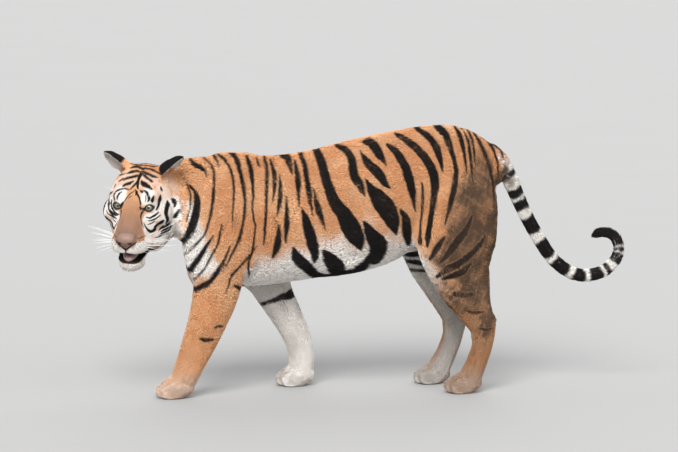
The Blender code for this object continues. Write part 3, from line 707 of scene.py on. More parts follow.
@dataclass(frozen=True)
class Mark:
    """A stroke of black: a smooth line of places with a width at each, in thousandths."""

    rows: tuple[Row, ...]
    soft: float
    wider: float = 1.0

    def cover(self, points: Array) -> Array:
        """How black the stroke makes each point, from 0 to 1."""
        line = along(self.rows, 4) / 1000
        places, widths = line[:, :-1], np.maximum(line[:, -1], 0.0) * self.wider
        reach = widths.max() / 2 + 2 * self.soft
        low, high = places.min(axis=0) - reach, places.max(axis=0) + reach
        near = np.flatnonzero(((points > low) & (points < high)).all(axis=1))
        cover = np.zeros(len(points))
        some = points[near]
        best = np.full(len(near), -1.0)
        for start, end, wide, narrow in zip(places, places[1:], widths, widths[1:]):
            gap = end - start
            part = np.clip((some - start) @ gap / max(gap @ gap, 1e-12), 0.0, 1.0)
            apart = np.linalg.norm(some - start - part[:, None] * gap, axis=1)
            best = np.maximum(best, (wide + (narrow - wide) * part) / 2 - apart)
        cover[near] = ease(best, -self.soft, self.soft)
        return cover


@dataclass(frozen=True)
class Drawing:
    """Marks of the head, drawn on a plane and carried straight on to the skin that faces it."""

    marks: Marks
    out: Row = FACE_DRAWN_FROM
    way: int = 1

    @property
    def plane(self) -> Array:
        """Directions out, aside and up of the plane, in the head's axes; mirrored where way is -1."""
        out = unit(np.array(self.out))
        aside = unit(np.array((0.0, 1.0, 0.0)) - out * out[1])
        return np.array([out, aside, np.cross(out, aside)]) * (1, self.way, 1)

    def cover(self, local: Array, ways: Array) -> Array:
        """How black the marks make each place.

        Args:
            local: Places in the head's axes.
            ways: The skin's outward direction there, in the head's axes.

        Returns:
            Black, from 0 to 1.
        """
        out, aside, up = self.plane
        flat = np.stack([local @ aside, local @ up], axis=1)
        black = np.zeros(len(local))
        for rows in self.marks:
            black = np.maximum(black, Mark(rows, 0.0010, 1.2).cover(flat))
        return black * ease(ways @ out, 0.05, 0.22)


class Markings:
    """Black stripes, white patches, rust, dirt and painted shade, as values from 0 to 1 at any point of the
    tiger.
    """

    soft: float = 0.0020

    def __init__(self) -> None:
        """Sets up the strokes of both sides and of the head."""
        self.ragged = Waves(1, 0.016)
        self.wander = Waves(2, 0.10)
        self.patchy = Waves(3, 0.06)
        self.mottle = Waves(4, 0.012)
        fore = (*NECK_STRIPES, *SHOULDER_STRIPES, *BARREL_STRIPES)
        flank = (*fore, *RUMP_STRIPES, *THIGH_STRIPES, *FORELEG_MARKS)
        self.left = [Mark(rows, self.soft, 1.12) for rows in flank]
        self.right = self._other_side(flank)
        self.inner = [Mark(rows, 0.0022) for rows in FAR_INNER_MARKS]
        self.face = [Drawing(FOREHEAD_MARKS), Drawing(CROWN_MARKS, (0.0, 0.0, 1.0))]
        for way in (1, -1):
            spots = 1000 * whisker_roots(way) @ Drawing((), way=way).plane[1:].T
            dots = tuple(((s, u, 2.4), (s + 1, u, 1.2)) for s, u in spots)
            self.face.append(Drawing((*CHEEK_MARKS, *dots), way=way))

    def _other_side(self, flank: Sequence[tuple[Row, ...]]) -> list[Mark]:
        """Stripes of the right side: the left's, but each moved, leaned and widened a little by itself."""
        rng = np.random.default_rng(SEED)
        made = []
        for rows in flank:
            shift, lean, wider = rng.normal(0, 13), rng.normal(0, 0.10), rng.uniform(0.85, 1.35)
            middle = np.mean([z for _, z, _ in rows])
            moved = tuple((x + shift + lean * (z - middle), z + shift, w) for x, z, w in rows)
            made.append(Mark(moved, self.soft, wider))
        return made

    def middle_y(self, points: Array) -> Array:
        """The middle plane's y at each point: it bends towards the head along the neck."""
        return np.interp(points[:, 0], (-0.80, -0.734, -0.664, -0.60), (-0.015, 0.022, 0.042, SPINE_Y))

    def stripe(self, points: Array, normals: Array, on_head: Array) -> Array:
        """How black each point is.

        Args:
            points: Places in the frame.
            normals: The skin's outward direction there.
            on_head: How much of the head each is.

        Returns:
            Black, from 0 to 1.
        """
        warp = np.stack([self.ragged(points + way) for way in (0.0, 3.0)], axis=1) * 0.0014
        flat = points[:, [0, 2]] + warp
        on_left = points[:, 1] < self.middle_y(points)
        body = np.zeros(len(points))
        leg_inside = (normals[:, 1] < -0.1) & (points[:, 1] > SPINE_Y) & (points[:, 2] < 0.56)
        on_right = ~on_left & ~leg_inside
        for marks, where in ((self.left, on_left), (self.right, on_right), (self.inner, leg_inside)):
            chosen = np.flatnonzero(where & (on_head < 1.0))
            some = flat[chosen]
            for mark in marks:
                body[chosen] = np.maximum(body[chosen], mark.cover(some))
        body = np.maximum(body, self._tail(points))
        chosen = np.flatnonzero(on_head > 0.0)
        local = HEAD.into(points[chosen])
        rough = local + np.stack([self.ragged(points[chosen] * 2 + k) for k in range(3)], axis=1) * 0.0006
        ways = normals[chosen] @ HEAD.turn
        face = np.max([drawing.cover(rough, ways) for drawing in self.face], axis=0)
        black, white = self._ears(local, ways)
        face = np.maximum(face * (1 - white), black)
        body[chosen] *= ease(on_head[chosen], 0.98, 0.85)
        body[chosen] = np.maximum(body[chosen], face * ease(on_head[chosen], 0.1, 0.5))
        return body

    def _ears(self, local: Array, ways: Array) -> tuple[Array, Array]:
        """How black the backs of the ears are, and how white their spots and insides.

        Args:
            local: Places in the head's axes.
            ways: The skin's outward direction there, in the head's axes.

        Returns:
            Black and white, from 0 to 1.
        """
        black, white = np.zeros(len(local)), np.zeros(len(local))
        for side in Side:
            up, inside, aside = EAR.inside(local, ways, side)
            mine = side.has(local) & (local[:, 2] > 0.060) & (local[:, 0] < 0.03)
            turned = side is Side.LEFT
            edge = 0.30 - 0.16 * turned
            rise = ease(up, edge, 0.40 - 0.16 * turned) * mine
            from_spot = np.hypot((up - 0.64) / 0.18, (aside - 0.22 * turned) / 0.42)
            spot = ease(from_spot, 1.15, 0.80) * (1 - inside)
            black = np.maximum(black, rise * (1 - inside) * (1 - spot))
            white = np.maximum(white, mine * np.maximum(inside * ease(up, 0.05, 0.25), spot * rise))
        return black, white

    def _tail(self, points: Array) -> Array:
        """The black rings of the tail."""
        cover = np.zeros(len(points))
        near = self._near_tail(points)
        place, apart, _, foot = TAIL.nearest(points[near])
        place = place + 0.004 * self.ragged(points[near]) + 0.10 * (points[near, 1] - foot[:, 1])
        rings = np.zeros(len(near))
        for start, end in TAIL_RINGS:
            begun = ease(place, start - 0.003, start + 0.003)
            rings = np.maximum(rings, begun * ease(place, end + 0.003, end - 0.003))
        cover[near] = rings * (apart < 0.05)
        return cover

    def _near_tail(self, points: Array) -> Array:
        """Numbers of the points that may be on the tail."""
        return np.flatnonzero((points[:, 0] > 0.47) & (points[:, 1] > -0.02) & (points[:, 1] < 0.12))

    def pale(self, points: Array, normals: Array, on_head: Array) -> Array:
        """How white each point is, where it isn't black.

        Args:
            points: Places in the frame.
            normals: The skin's outward direction there.
            on_head: How much of the head each is.

        Returns:
            White, from 0 to 1.
        """
        x, z = points[:, 0], points[:, 2]
        wobble = 0.018 * self.patchy(points) + 0.006 * self.mottle(points)
        line = np.interp(
            x,
            (-0.47, -0.45, -0.42, -0.36, -0.30, -0.20, -0.10, 0.0, 0.08, 0.14, 0.20, 0.30),
            (0.34, 0.42, 0.475, 0.49, 0.525, 0.56, 0.575, 0.59, 0.59, 0.58, 0.50, 0.44),
        )
        aside = points[:, 1] - self.middle_y(points)
        to_middle = -normals[:, 1] * np.sign(aside)
        belly = ease(z + 1.3 * wobble, line + 0.075, line - 0.060) * ease(x, 0.30, 0.20)
        top_of_leg = np.interp(x, (-0.42, -0.38), (0.45, 0.39))
        outer_leg = ease(to_middle + wobble * 3, 0.55, 0.05) * ease(z, top_of_leg, top_of_leg - 0.05)
        belly *= 1.0 - outer_leg * (x < -0.10)
        under = ease(-normals[:, 2] - wobble * 4, 0.25, 0.60) * (z > 0.40)
        inner = ease(to_middle + wobble * 3, 0.10, 0.80) * ease(z, 0.56, 0.48)
        front = np.interp(z, (0.42, 0.48, 0.60, 0.70, 0.76), (-0.625, -0.575, -0.595, -0.635, -0.70))
        throat = ease(x + wobble, front + 0.020, front - 0.020) * ease(z, 0.78, 0.72)
        throat *= ease(z + wobble, 0.40, 0.46)
        breast = ease(-normals[:, 0] + wobble * 3, 0.35, 0.70) * ease(z, 0.78, 0.70)
        breast *= ease(z, 0.43, 0.49) * (x < -0.5)
        feet = 0.45 * ease(z, 0.12, 0.03)
        far_fore = ease(z, 0.46, 0.40) * ease(to_middle + wobble * 3, -0.35, 0.10)
        far_fore *= (aside > 0) & (x < -0.1)
        pale = np.max([belly, under, inner, throat, breast, feet, far_fore], axis=0)
        near = self._near_tail(points)
        place, apart, _, _ = TAIL.nearest(points[near])
        pale[near] = ease(place + wobble[near], 0.030, 0.08) * (apart < 0.05)
        share = ease(on_head, 0.1, 0.9)
        chosen = np.flatnonzero(share > 0)
        face = self._face_pale(points[chosen], normals[chosen])
        pale[chosen] += (face - pale[chosen]) * share[chosen]
        return np.clip(pale, 0.0, 1.0)

    def _face_pale(self, points: Array, normals: Array) -> Array:
        """White of the face: above and below the eyes, cheeks, muzzle and chin."""
        local = HEAD.into(points)
        ahead, aside, up = local[:, 0], np.abs(local[:, 1]), local[:, 2]
        folded = np.stack([ahead, aside, up], axis=1) * 1000
        wobble = 0.10 * self.mottle(points) + 0.06 * self.patchy(points)
        pale = np.zeros(len(points))
        for place, radii, share in WHITE_PATCHES:
            far = np.linalg.norm((folded - place) / np.array(radii), axis=1)
            pale = np.maximum(pale, share * ease(far + wobble, 1.35, 0.75))
        half = np.interp(ahead, (0.05, 0.095, 0.13, 0.145, 0.16), (0.014, 0.027, 0.038, 0.050, 0.062))
        bridge = ease(aside, half + 0.0055, half - 0.0055) * ease(ahead, 0.075, 0.095)
        end = np.interp(aside, (0.0, 0.028, 0.034, 0.065), (-0.085, -0.058, -0.052, -0.060))
        pale *= 1 - bridge * ease(up + 0.02 * wobble, end - 0.004, end + 0.004)
        return np.maximum(pale, self._ears(local, normals @ HEAD.turn)[1])

    def rust(self, points: Array) -> Array:
        """Where the orange is deeper: along the back, and in slow patches."""
        slow = 0.20 + 0.22 * self.wander(points) + 0.08 * self.patchy(points)
        top = ease(points[:, 2], 0.80, 0.97) * 0.20
        return np.clip(slow + top, 0.0, 0.7)

    def rosy(self, points: Array) -> Array:
        """Where the short hair of the nose's bridge turns to the dull pink of the leather."""
        ahead, aside, up = HEAD.into(points).T
        low = ease(ahead, 0.120, 0.178) * ease(np.abs(aside), 0.044, 0.030)
        bridge = (0.35 + 0.40 * ease(ahead, 0.10, 0.15)) * ease(ahead, 0.08, 0.10)
        bridge *= ease(np.abs(aside), 0.055, 0.040)
        return np.maximum(low, bridge) * ease(up, -0.090, -0.080)

    def soil(self, points: Array) -> Array:
        """Dried dirt on the hind legs and on the feet, painted shade with it on the lower hind legs, and a
        light greying of the far foreleg.
        """
        x, y, z = points.T
        speck = 0.016 * self.mottle(points) + 0.028 * self.patchy(points)
        spread = np.stack([x + speck, z + speck], axis=1)
        blotch = 0.93 + 0.20 * self.patchy(points * 1.7) + 0.12 * self.mottle(points)
        thigh = Mark(MUD, 0.040).cover(spread) * blotch * ease(y, SPINE_Y, SPINE_Y - 0.03)
        # Dirt and painted shade together darken the lower hind legs.
        shank = ease(z + speck, 0.44, 0.34) * (x > 0.1) * (0.50 + 0.15 * (blotch - 0.8))
        feet = ease(z + speck, 0.08, 0.0) * 0.35
        # A light greying of the far foreleg's white.
        far_leg = 0.13 * ((y > SPINE_Y) & (x < -0.1)) * ease(z, 0.50, 0.40)
        return np.clip(np.max([thigh, shank, feet, far_leg], axis=0) * (x < 0.55), 0.0, 1.0)

    def write(
        self,
        mesh: bpy.types.Mesh,
        points: Array,
        normals: Array,
        on_head: Array,
        read: Array | slice = slice(None),
    ) -> None:
        """Keeps the markings on a mesh.

        Args:
            mesh: The mesh.
            points: Where the markings are read.
            normals: The skin's outward direction there.
            on_head: How much of the head each point is.
            read: For each of the mesh's points, the number of the place whose markings it takes.
        """
        put(mesh, "stripe", self.stripe(points, normals, on_head)[read])
        put(mesh, "pale", self.pale(points, normals, on_head)[read])
        for mark in (self.rust, self.rosy, self.soil):
            put(mesh, mark.__name__, mark(points)[read])


# ---- meshes


def add_object(name: str, data: bpy.types.ID) -> bpy.types.Object:
    """An object in the scene with the given data."""
    made = bpy.data.objects.new(name, data)
    bpy.context.scene.collection.objects.link(made)
    return made


def plain_object(name: str, bm: bmesh.types.BMesh) -> bpy.types.Object:
    """An object in the scene with the given mesh, which is freed."""
    mesh = bpy.data.meshes.new(name)
    bm.to_mesh(mesh)
    bm.free()
    return add_object(name, mesh)


def applied(thing: bpy.types.Object) -> bpy.types.Object:
    """Makes the object's mesh the one that its modifiers give."""
    bpy.context.view_layer.update()
    graph = bpy.context.evaluated_depsgraph_get()
    mesh = bpy.data.meshes.new_from_object(thing.evaluated_get(graph))
    thing.modifiers.clear()
    old = thing.data
    thing.data = mesh
    bpy.data.meshes.remove(old)
    return thing


def fused(thing: bpy.types.Object, voxel: float) -> bpy.types.Object:
    """Fuses the object's parts into one closed mesh, with faces of about the given width."""
    fuse = thing.modifiers.new("fuse", "REMESH")
    fuse.mode = "VOXEL"
    fuse.voxel_size = voxel
    return applied(thing)


def walled(thing: bpy.types.Object, thick: float) -> bpy.types.Object:
    """Gives an open surface a wall behind it."""
    shell = thing.modifiers.new("wall", "SOLIDIFY")
    shell.thickness = thick
    shell.offset = -1.0
    return applied(thing)


def cut_away(bm: bmesh.types.BMesh, place: Row, way: Row, reach: float) -> list[bmesh.types.BMEdge]:
    """Removes what lies ahead of a plane, and returns the edges along the cut."""
    geometry = bm.verts[:] + bm.edges[:] + bm.faces[:]
    plane = {"plane_co": place, "plane_no": way, "dist": reach, "clear_outer": True}
    cut = bmesh.ops.bisect_plane(bm, geom=geometry, **plane)["geom_cut"]
    return [part for part in cut if isinstance(part, bmesh.types.BMEdge)]


def joined(name: str, things: Sequence[bpy.types.Object]) -> bpy.types.Object:
    """All meshes in one object."""
    bm = bmesh.new()
    for thing in things:
        bm.from_mesh(thing.data)
        bpy.data.objects.remove(thing)
    return plain_object(name, bm)


def get_rows(rows: bpy.types.bpy_prop_collection, key: str, size: int = 1, kind: type = np.float32) -> Array:
    """The numbers that each row of Blender's data has under a key, as many as size."""
    flat = np.empty(len(rows) * size, kind)
    rows.foreach_get(key, flat)
    return flat.reshape(-1, size).squeeze()


def set_rows(rows: bpy.types.bpy_prop_collection, key: str, values: Array) -> None:
    """Sets the numbers that each row of Blender's data has under a key."""
    rows.foreach_set(key, values.astype(np.float32).ravel())


def put(mesh: bpy.types.Mesh, name: str, values: Array) -> None:
    """Keeps a number or three for each vertex on the mesh."""
    kind, key = ("FLOAT", "value") if values.ndim == 1 else ("FLOAT_VECTOR", "vector")
    set_rows(mesh.attributes.new(name, kind, "POINT").data, key, values)


def take(mesh: bpy.types.Mesh, name: str) -> Array:
    """The kept numbers, taken off the mesh again."""
    kept = mesh.attributes[name]
    size, key = (1, "value") if kept.data_type == "FLOAT" else (3, "vector")
    values = get_rows(kept.data, key, size)
    mesh.attributes.remove(kept)
    return values.astype(float)


def shade_smooth(mesh: bpy.types.Mesh) -> None:
    """Smooth shading on every face."""
    mesh.polygons.foreach_set("use_smooth", np.ones(len(mesh.polygons), bool))


def dress(thing: bpy.types.Object, finish: bpy.types.Material, *stands_for: str) -> bpy.types.Object:
    """Gives a finished piece its material, slot and body.

    Args:
        thing: The piece.
        finish: Its material.
        stands_for: The CAD nodes that it replaces.

    Returns:
        The piece.
    """
    thing.data.materials.clear()
    thing.data.materials.append(finish)
    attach(thing, "root")
    if stands_for:
        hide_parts(*stands_for)
    return thing


class Net:
    """A mesh's points and edges as arrays, for smoothing over the surface."""

    def __init__(self, mesh: bpy.types.Mesh) -> None:
        """Args: the mesh."""
        self.mesh = mesh
        self.points = get_rows(mesh.vertices, "co", 3).astype(float)
        self.ends = get_rows(mesh.edges, "vertices", 2, np.int32)
        self.degree = np.maximum(np.bincount(self.ends.ravel(), minlength=len(self.points)), 1)

    def average(self, values: Array) -> Array:
        """The mean of each point's neighbours."""
        first, second = self.ends.T
        count = len(self.degree)
        columns = []
        for column in values.reshape(count, -1).T:
            total = np.bincount(first, column[second], count) + np.bincount(second, column[first], count)
            columns.append(total / self.degree)
        return np.stack(columns, axis=1).reshape(values.shape)

    def smooth(self, values: Array, steps: int, share: Array | float = 0.5) -> Array:
        """The values after some steps towards their neighbours.

        Args:
            values: A number or more for each point.
            steps: How many steps.
            share: How far each point goes in a step, from 0 to 1.

        Returns:
            The smoothed values.
        """
        share = np.broadcast_to(share, len(values))
        share = share[:, None] if values.ndim > 1 else share
        for _ in range(steps):
            values = values + share * (self.average(values) - values)
        return values

    def move(self, points: Array) -> None:
        """Puts the points on the mesh."""
        self.points = points
        set_rows(self.mesh.vertices, "co", points)
        self.mesh.update()

    @property
    def normals(self) -> Array:
        """The outward direction at each point."""
        return get_rows(self.mesh.vertex_normals, "vector", 3).astype(float)


# ---- head and skin

# Head stations in the head's axes: forward, up, half height, half width, and how much narrower the top is
SKULL: tuple[Row, ...] = (
    (-0.120, 0.000, 0.066, 0.062, 0.00),
    (-0.090, -0.002, 0.101, 0.094, 0.05),
    (-0.045, -0.003, 0.119, 0.109, 0.10),
    (0.000, -0.008, 0.123, 0.113, 0.12),
    (0.045, -0.022, 0.118, 0.106, 0.15),
    (0.080, -0.042, 0.106, 0.088, 0.18),
    (0.110, -0.060, 0.094, 0.070, 0.20),
    (0.145, -0.077, 0.083, 0.057, 0.20),
    (0.176, -0.086, 0.066, 0.049, 0.15),
    (0.194, -0.084, 0.038, 0.036, 0.05),
)
# Rounded masses of the head: place, radii, tilt. Each is on both sides where its place is aside
HEAD_MASSES: tuple[tuple[Row, Row, float], ...] = (
    ((0.153, 0.029, -0.076), (0.045, 0.033, 0.035), 0),
    ((0.186, 0.000, -0.046), (0.020, 0.031, 0.020), 20),
    ((0.126, 0.000, -0.004), (0.080, 0.034, 0.021), 38),
    ((0.146, 0.000, -0.148), (0.040, 0.042, 0.026), 0),
    ((0.058, 0.049, 0.052), (0.036, 0.030, 0.019), 38),
    ((0.052, 0.078, -0.012), (0.050, 0.036, 0.042), 0),
    ((-0.010, 0.077, -0.042), (0.058, 0.042, 0.076), 0),
    ((0.035, 0.050, -0.104), (0.085, 0.042, 0.042), 0),
)
TURN_FOLD: tuple[Row, Row, float] = ((-0.030, 0.104, -0.040), (0.050, 0.046, 0.080), 0)
# Small hollows and swellings of the face, on both sides: place, reach, and how far out
FACE_DABS: tuple[tuple[Row, float, float], ...] = (
    ((0.103, 0.034, 0.010), 0.012, -0.0015),
    ((0.112, 0.052, -0.012), 0.016, -0.0030),
    ((0.086, 0.052, 0.050), 0.013, 0.0030),
    ((0.140, 0.036, -0.018), 0.017, -0.0030),
    ((0.122, 0.062, -0.058), 0.018, -0.0050),
    ((0.178, 0.036, -0.066), 0.017, 0.0030),
    ((0.200, 0.000, -0.082), 0.007, -0.0050),
    ((0.196, 0.000, -0.092), 0.006, -0.0040),
    ((0.165, 0.016, -0.150), 0.014, 0.0020),
    ((0.050, 0.000, 0.098), 0.012, -0.0018),
    ((0.020, 0.000, 0.112), 0.014, -0.0018),
    ((0.172, 0.037, -0.038), 0.009, -0.0035),
    ((0.040, 0.092, 0.030), 0.020, -0.0030),
)


@dataclass(frozen=True)
class EarForm:
    """A rounded cup that opens to the side and forward."""

    base: Row = (-0.045, 0.074, 0.072)
    axis: Row = (-0.04, 0.68, 0.73)
    openings: tuple[Row, Row] = ((0.28, 0.72, -0.62), (0.75, 0.50, -0.40))
    tall: float = 0.089
    wide: float = 0.046
    deep: float = 0.034
    wall: float = 0.0072

    def axes(self, side: Side) -> tuple[Array, Array, Array, Array]:
        """Across, opening and axis directions in the head's axes, and the base's middle."""
        axis = unit(side.place(self.axis))
        opening = side.place(self.openings[side is Side.RIGHT])
        opening = unit(opening - axis * (opening @ axis))
        return np.cross(axis, opening), opening, axis, side.place(self.base)

    def build(self, side: Side) -> bpy.types.Object:
        """Builds one cup as a closed wall."""
        across, opening, axis, base = self.axes(side)
        bm = bmesh.new()
        bmesh.ops.create_uvsphere(bm, u_segments=40, v_segments=28, radius=1.0)
        cut_away(bm, (0, 0, 0), (0, 1, 0), 1e-5)
        columns = np.stack([across * self.wide, opening * self.deep, axis * self.tall], axis=1)
        bm.transform(HEAD.matrix @ placed(columns, base))
        bmesh.ops.recalc_face_normals(bm, faces=bm.faces)
        return walled(plain_object("ear_form", bm), self.wall)

    def inside(self, local: Array, ways: Array, side: Side) -> tuple[Array, Array, Array]:
        """How far up the cup places are, and whether they are on the cup's hollow side.

        Args:
            local: Places in the head's axes.
            ways: The outward direction there, in the head's axes.
            side: Which ear.

        Returns:
            Height along the ear from 0 to 1; 0 on the back and 1 inside; and the share across it, -1 to 1.
        """
        across, opening, axis, base = self.axes(side)
        turn = np.stack([across, opening, axis], axis=1)
        sizes = np.array([self.wide, self.deep, self.tall])
        scaled = (local - base) @ turn / sizes
        facing = np.sum(unit(scaled / sizes) * (ways @ turn), axis=1)
        return scaled[:, 2], ease(facing, 0.20, -0.20), scaled[:, 0]


@dataclass(frozen=True)
class MouthGap:
    """The open space between the lips."""

    corner: Row = MOUTH_CORNER
    front: float = 0.26
    half_open: float = 0.028

    @property
    def slope(self) -> float:
        """How steeply each lip leaves the gap's middle."""
        return self.half_open / (self.front - self.corner[0])

    def half(self, ahead: Array) -> Array:
        """Half the gap's height at a place ahead."""
        return self.slope * np.maximum(ahead - self.corner[0], 0.0)


@dataclass(frozen=True)
class Lids:
    """The eyelids round one eye: how the opening lies and how wide it is. Lengths in metres."""

    out: Row = (0.86, 0.24, 0.34)
    half_wide: float = 0.0165
    half_high: float = 0.0084
    slant: float = 15.0
    thick: float = 0.0026
    crease: float = 0.0011
    behind: float = 0.0035

    def axes(self, side: Side) -> tuple[Array, Array, Array]:
        """Directions out, to the outer corner and up, in the head's axes."""
        out = unit(side.place(self.out))
        aside = side.place((0.0, 1.0, 0.0))
        aside = unit(aside - out * (aside @ out))
        up = np.cross(out, aside) * side.way
        turn = math.radians(self.slant)
        return out, aside * math.cos(turn) + up * math.sin(turn), up * math.cos(turn) - aside * math.sin(turn)

    def measure(self, local: Array, side: Side) -> tuple[Array, Array, Array, Array]:
        """Where places are about the eye.

        Args:
            local: Places in the head's axes.
            side: Which eye.

        Returns:
            Distance from the eye's middle, the direction from it, the distance outside the opening's edge,
            and the height above the opening's middle line, in metres.
        """
        out, aside, up = self.axes(side)
        from_eye = (local - side.place(EYE_PLACE)) * HEAD.scale
        far = np.linalg.norm(from_eye, axis=1)
        way = from_eye / far[:, None]
        x = np.arctan2(way @ aside, way @ out) * EYE_RADIUS
        y = np.arctan2(way @ up, np.hypot(way @ aside, way @ out)) * EYE_RADIUS
        arch = 1.0 - (x / self.half_wide) ** 2
        slope = np.hypot(1.0, 2 * x * self.half_high / self.half_wide**2)
        outside = (np.abs(y) - self.half_high * arch) / slope
        outside = np.where(way @ out < 0.0, 1.0, outside)
        return far, way, outside, y

    def shape(self, local: Array, side: Side) -> Array:
        """The places, moved onto the lids and behind the eye."""
        far, way, outside, y = self.measure(local, side)
        lid = EYE_RADIUS + 0.0008 + self.thick * ease(outside, -0.0004, 0.0030)
        lid = lid - self.crease * np.exp(-(((outside - 0.0062) / 0.0016) ** 2)) * (y > 0)
        hidden = EYE_RADIUS - self.behind
        wanted = lid + (hidden - lid) * ease(outside, 0.0003, -0.0010)
        given = ease(outside, 0.0050, 0.0130)
        wanted = wanted + (far - wanted) * given
        near = (far < EYE_RADIUS + 0.020) & (outside < 0.0130)
        wanted = np.where(near, wanted, far)
        covered = (outside > 0.0003) & (way @ self.axes(side)[0] > -0.3)
        wanted = np.where(covered, np.maximum(wanted, EYE_RADIUS + 0.0010), wanted)
        return side.place(EYE_PLACE) + way * (wanted / HEAD.scale)[:, None]


LIDS = Lids()
EAR = EarForm()
GAP = MouthGap()
NOT_FLESH = ("left_eye", "right_eye", "tongue")

# For each named piece of the body: length of the coat, and which way it lies
COAT_OF: dict[str, tuple[float, Row]] = {
    "barrel": (0.0145, (1.0, 0.0, -0.35)),
    "chest": (0.0150, (1.0, 0.0, -0.45)),
    "hips": (0.0140, (1.0, 0.0, -0.40)),
    "neck": (0.0180, (1.0, 0.15, -0.40)),
    "shoulder": (0.0130, (0.75, 0.0, -0.80)),
    "forearm": (0.011, (0.30, 0.0, -1.0)),
    "forepaw": (0.008, (-0.80, 0.0, -0.60)),
    "thigh": (0.0140, (0.55, 0.0, -0.85)),
    "shank": (0.012, (0.35, 0.0, -1.0)),
    "hind_foot": (0.009, (-0.45, 0.0, -0.90)),
    "head": (0.014, (1.0, 0.0, 0.0)),
    "lower_jaw": (0.013, (1.0, 0.0, 0.0)),
    "nose": (0.003, (1.0, 0.0, 0.0)),
    "ear": (0.009, (0.0, 0.0, 1.0)),
    "tail": (0.016, (1.0, 0.0, 0.0)),
}


def coat_of(node: str) -> tuple[float, Row]:
    """The coat of a named piece."""
    kind = node.removeprefix("left_").removeprefix("right_")
    return COAT_OF["tail" if kind.startswith("tail") else kind]


def head_distance(points: Array) -> Array:
    """How far each point is from the head's middle, where 1 is about the head's outside."""
    return np.linalg.norm((HEAD.into(points) - (0.045, 0.0, -0.03)) / (0.165, 0.135, 0.155), axis=1)


def head_share(points: Array) -> Array:
    """How much each point belongs to the head rather than the neck, from 0 to 1."""
    return ease(head_distance(points), 1.22, 0.98)


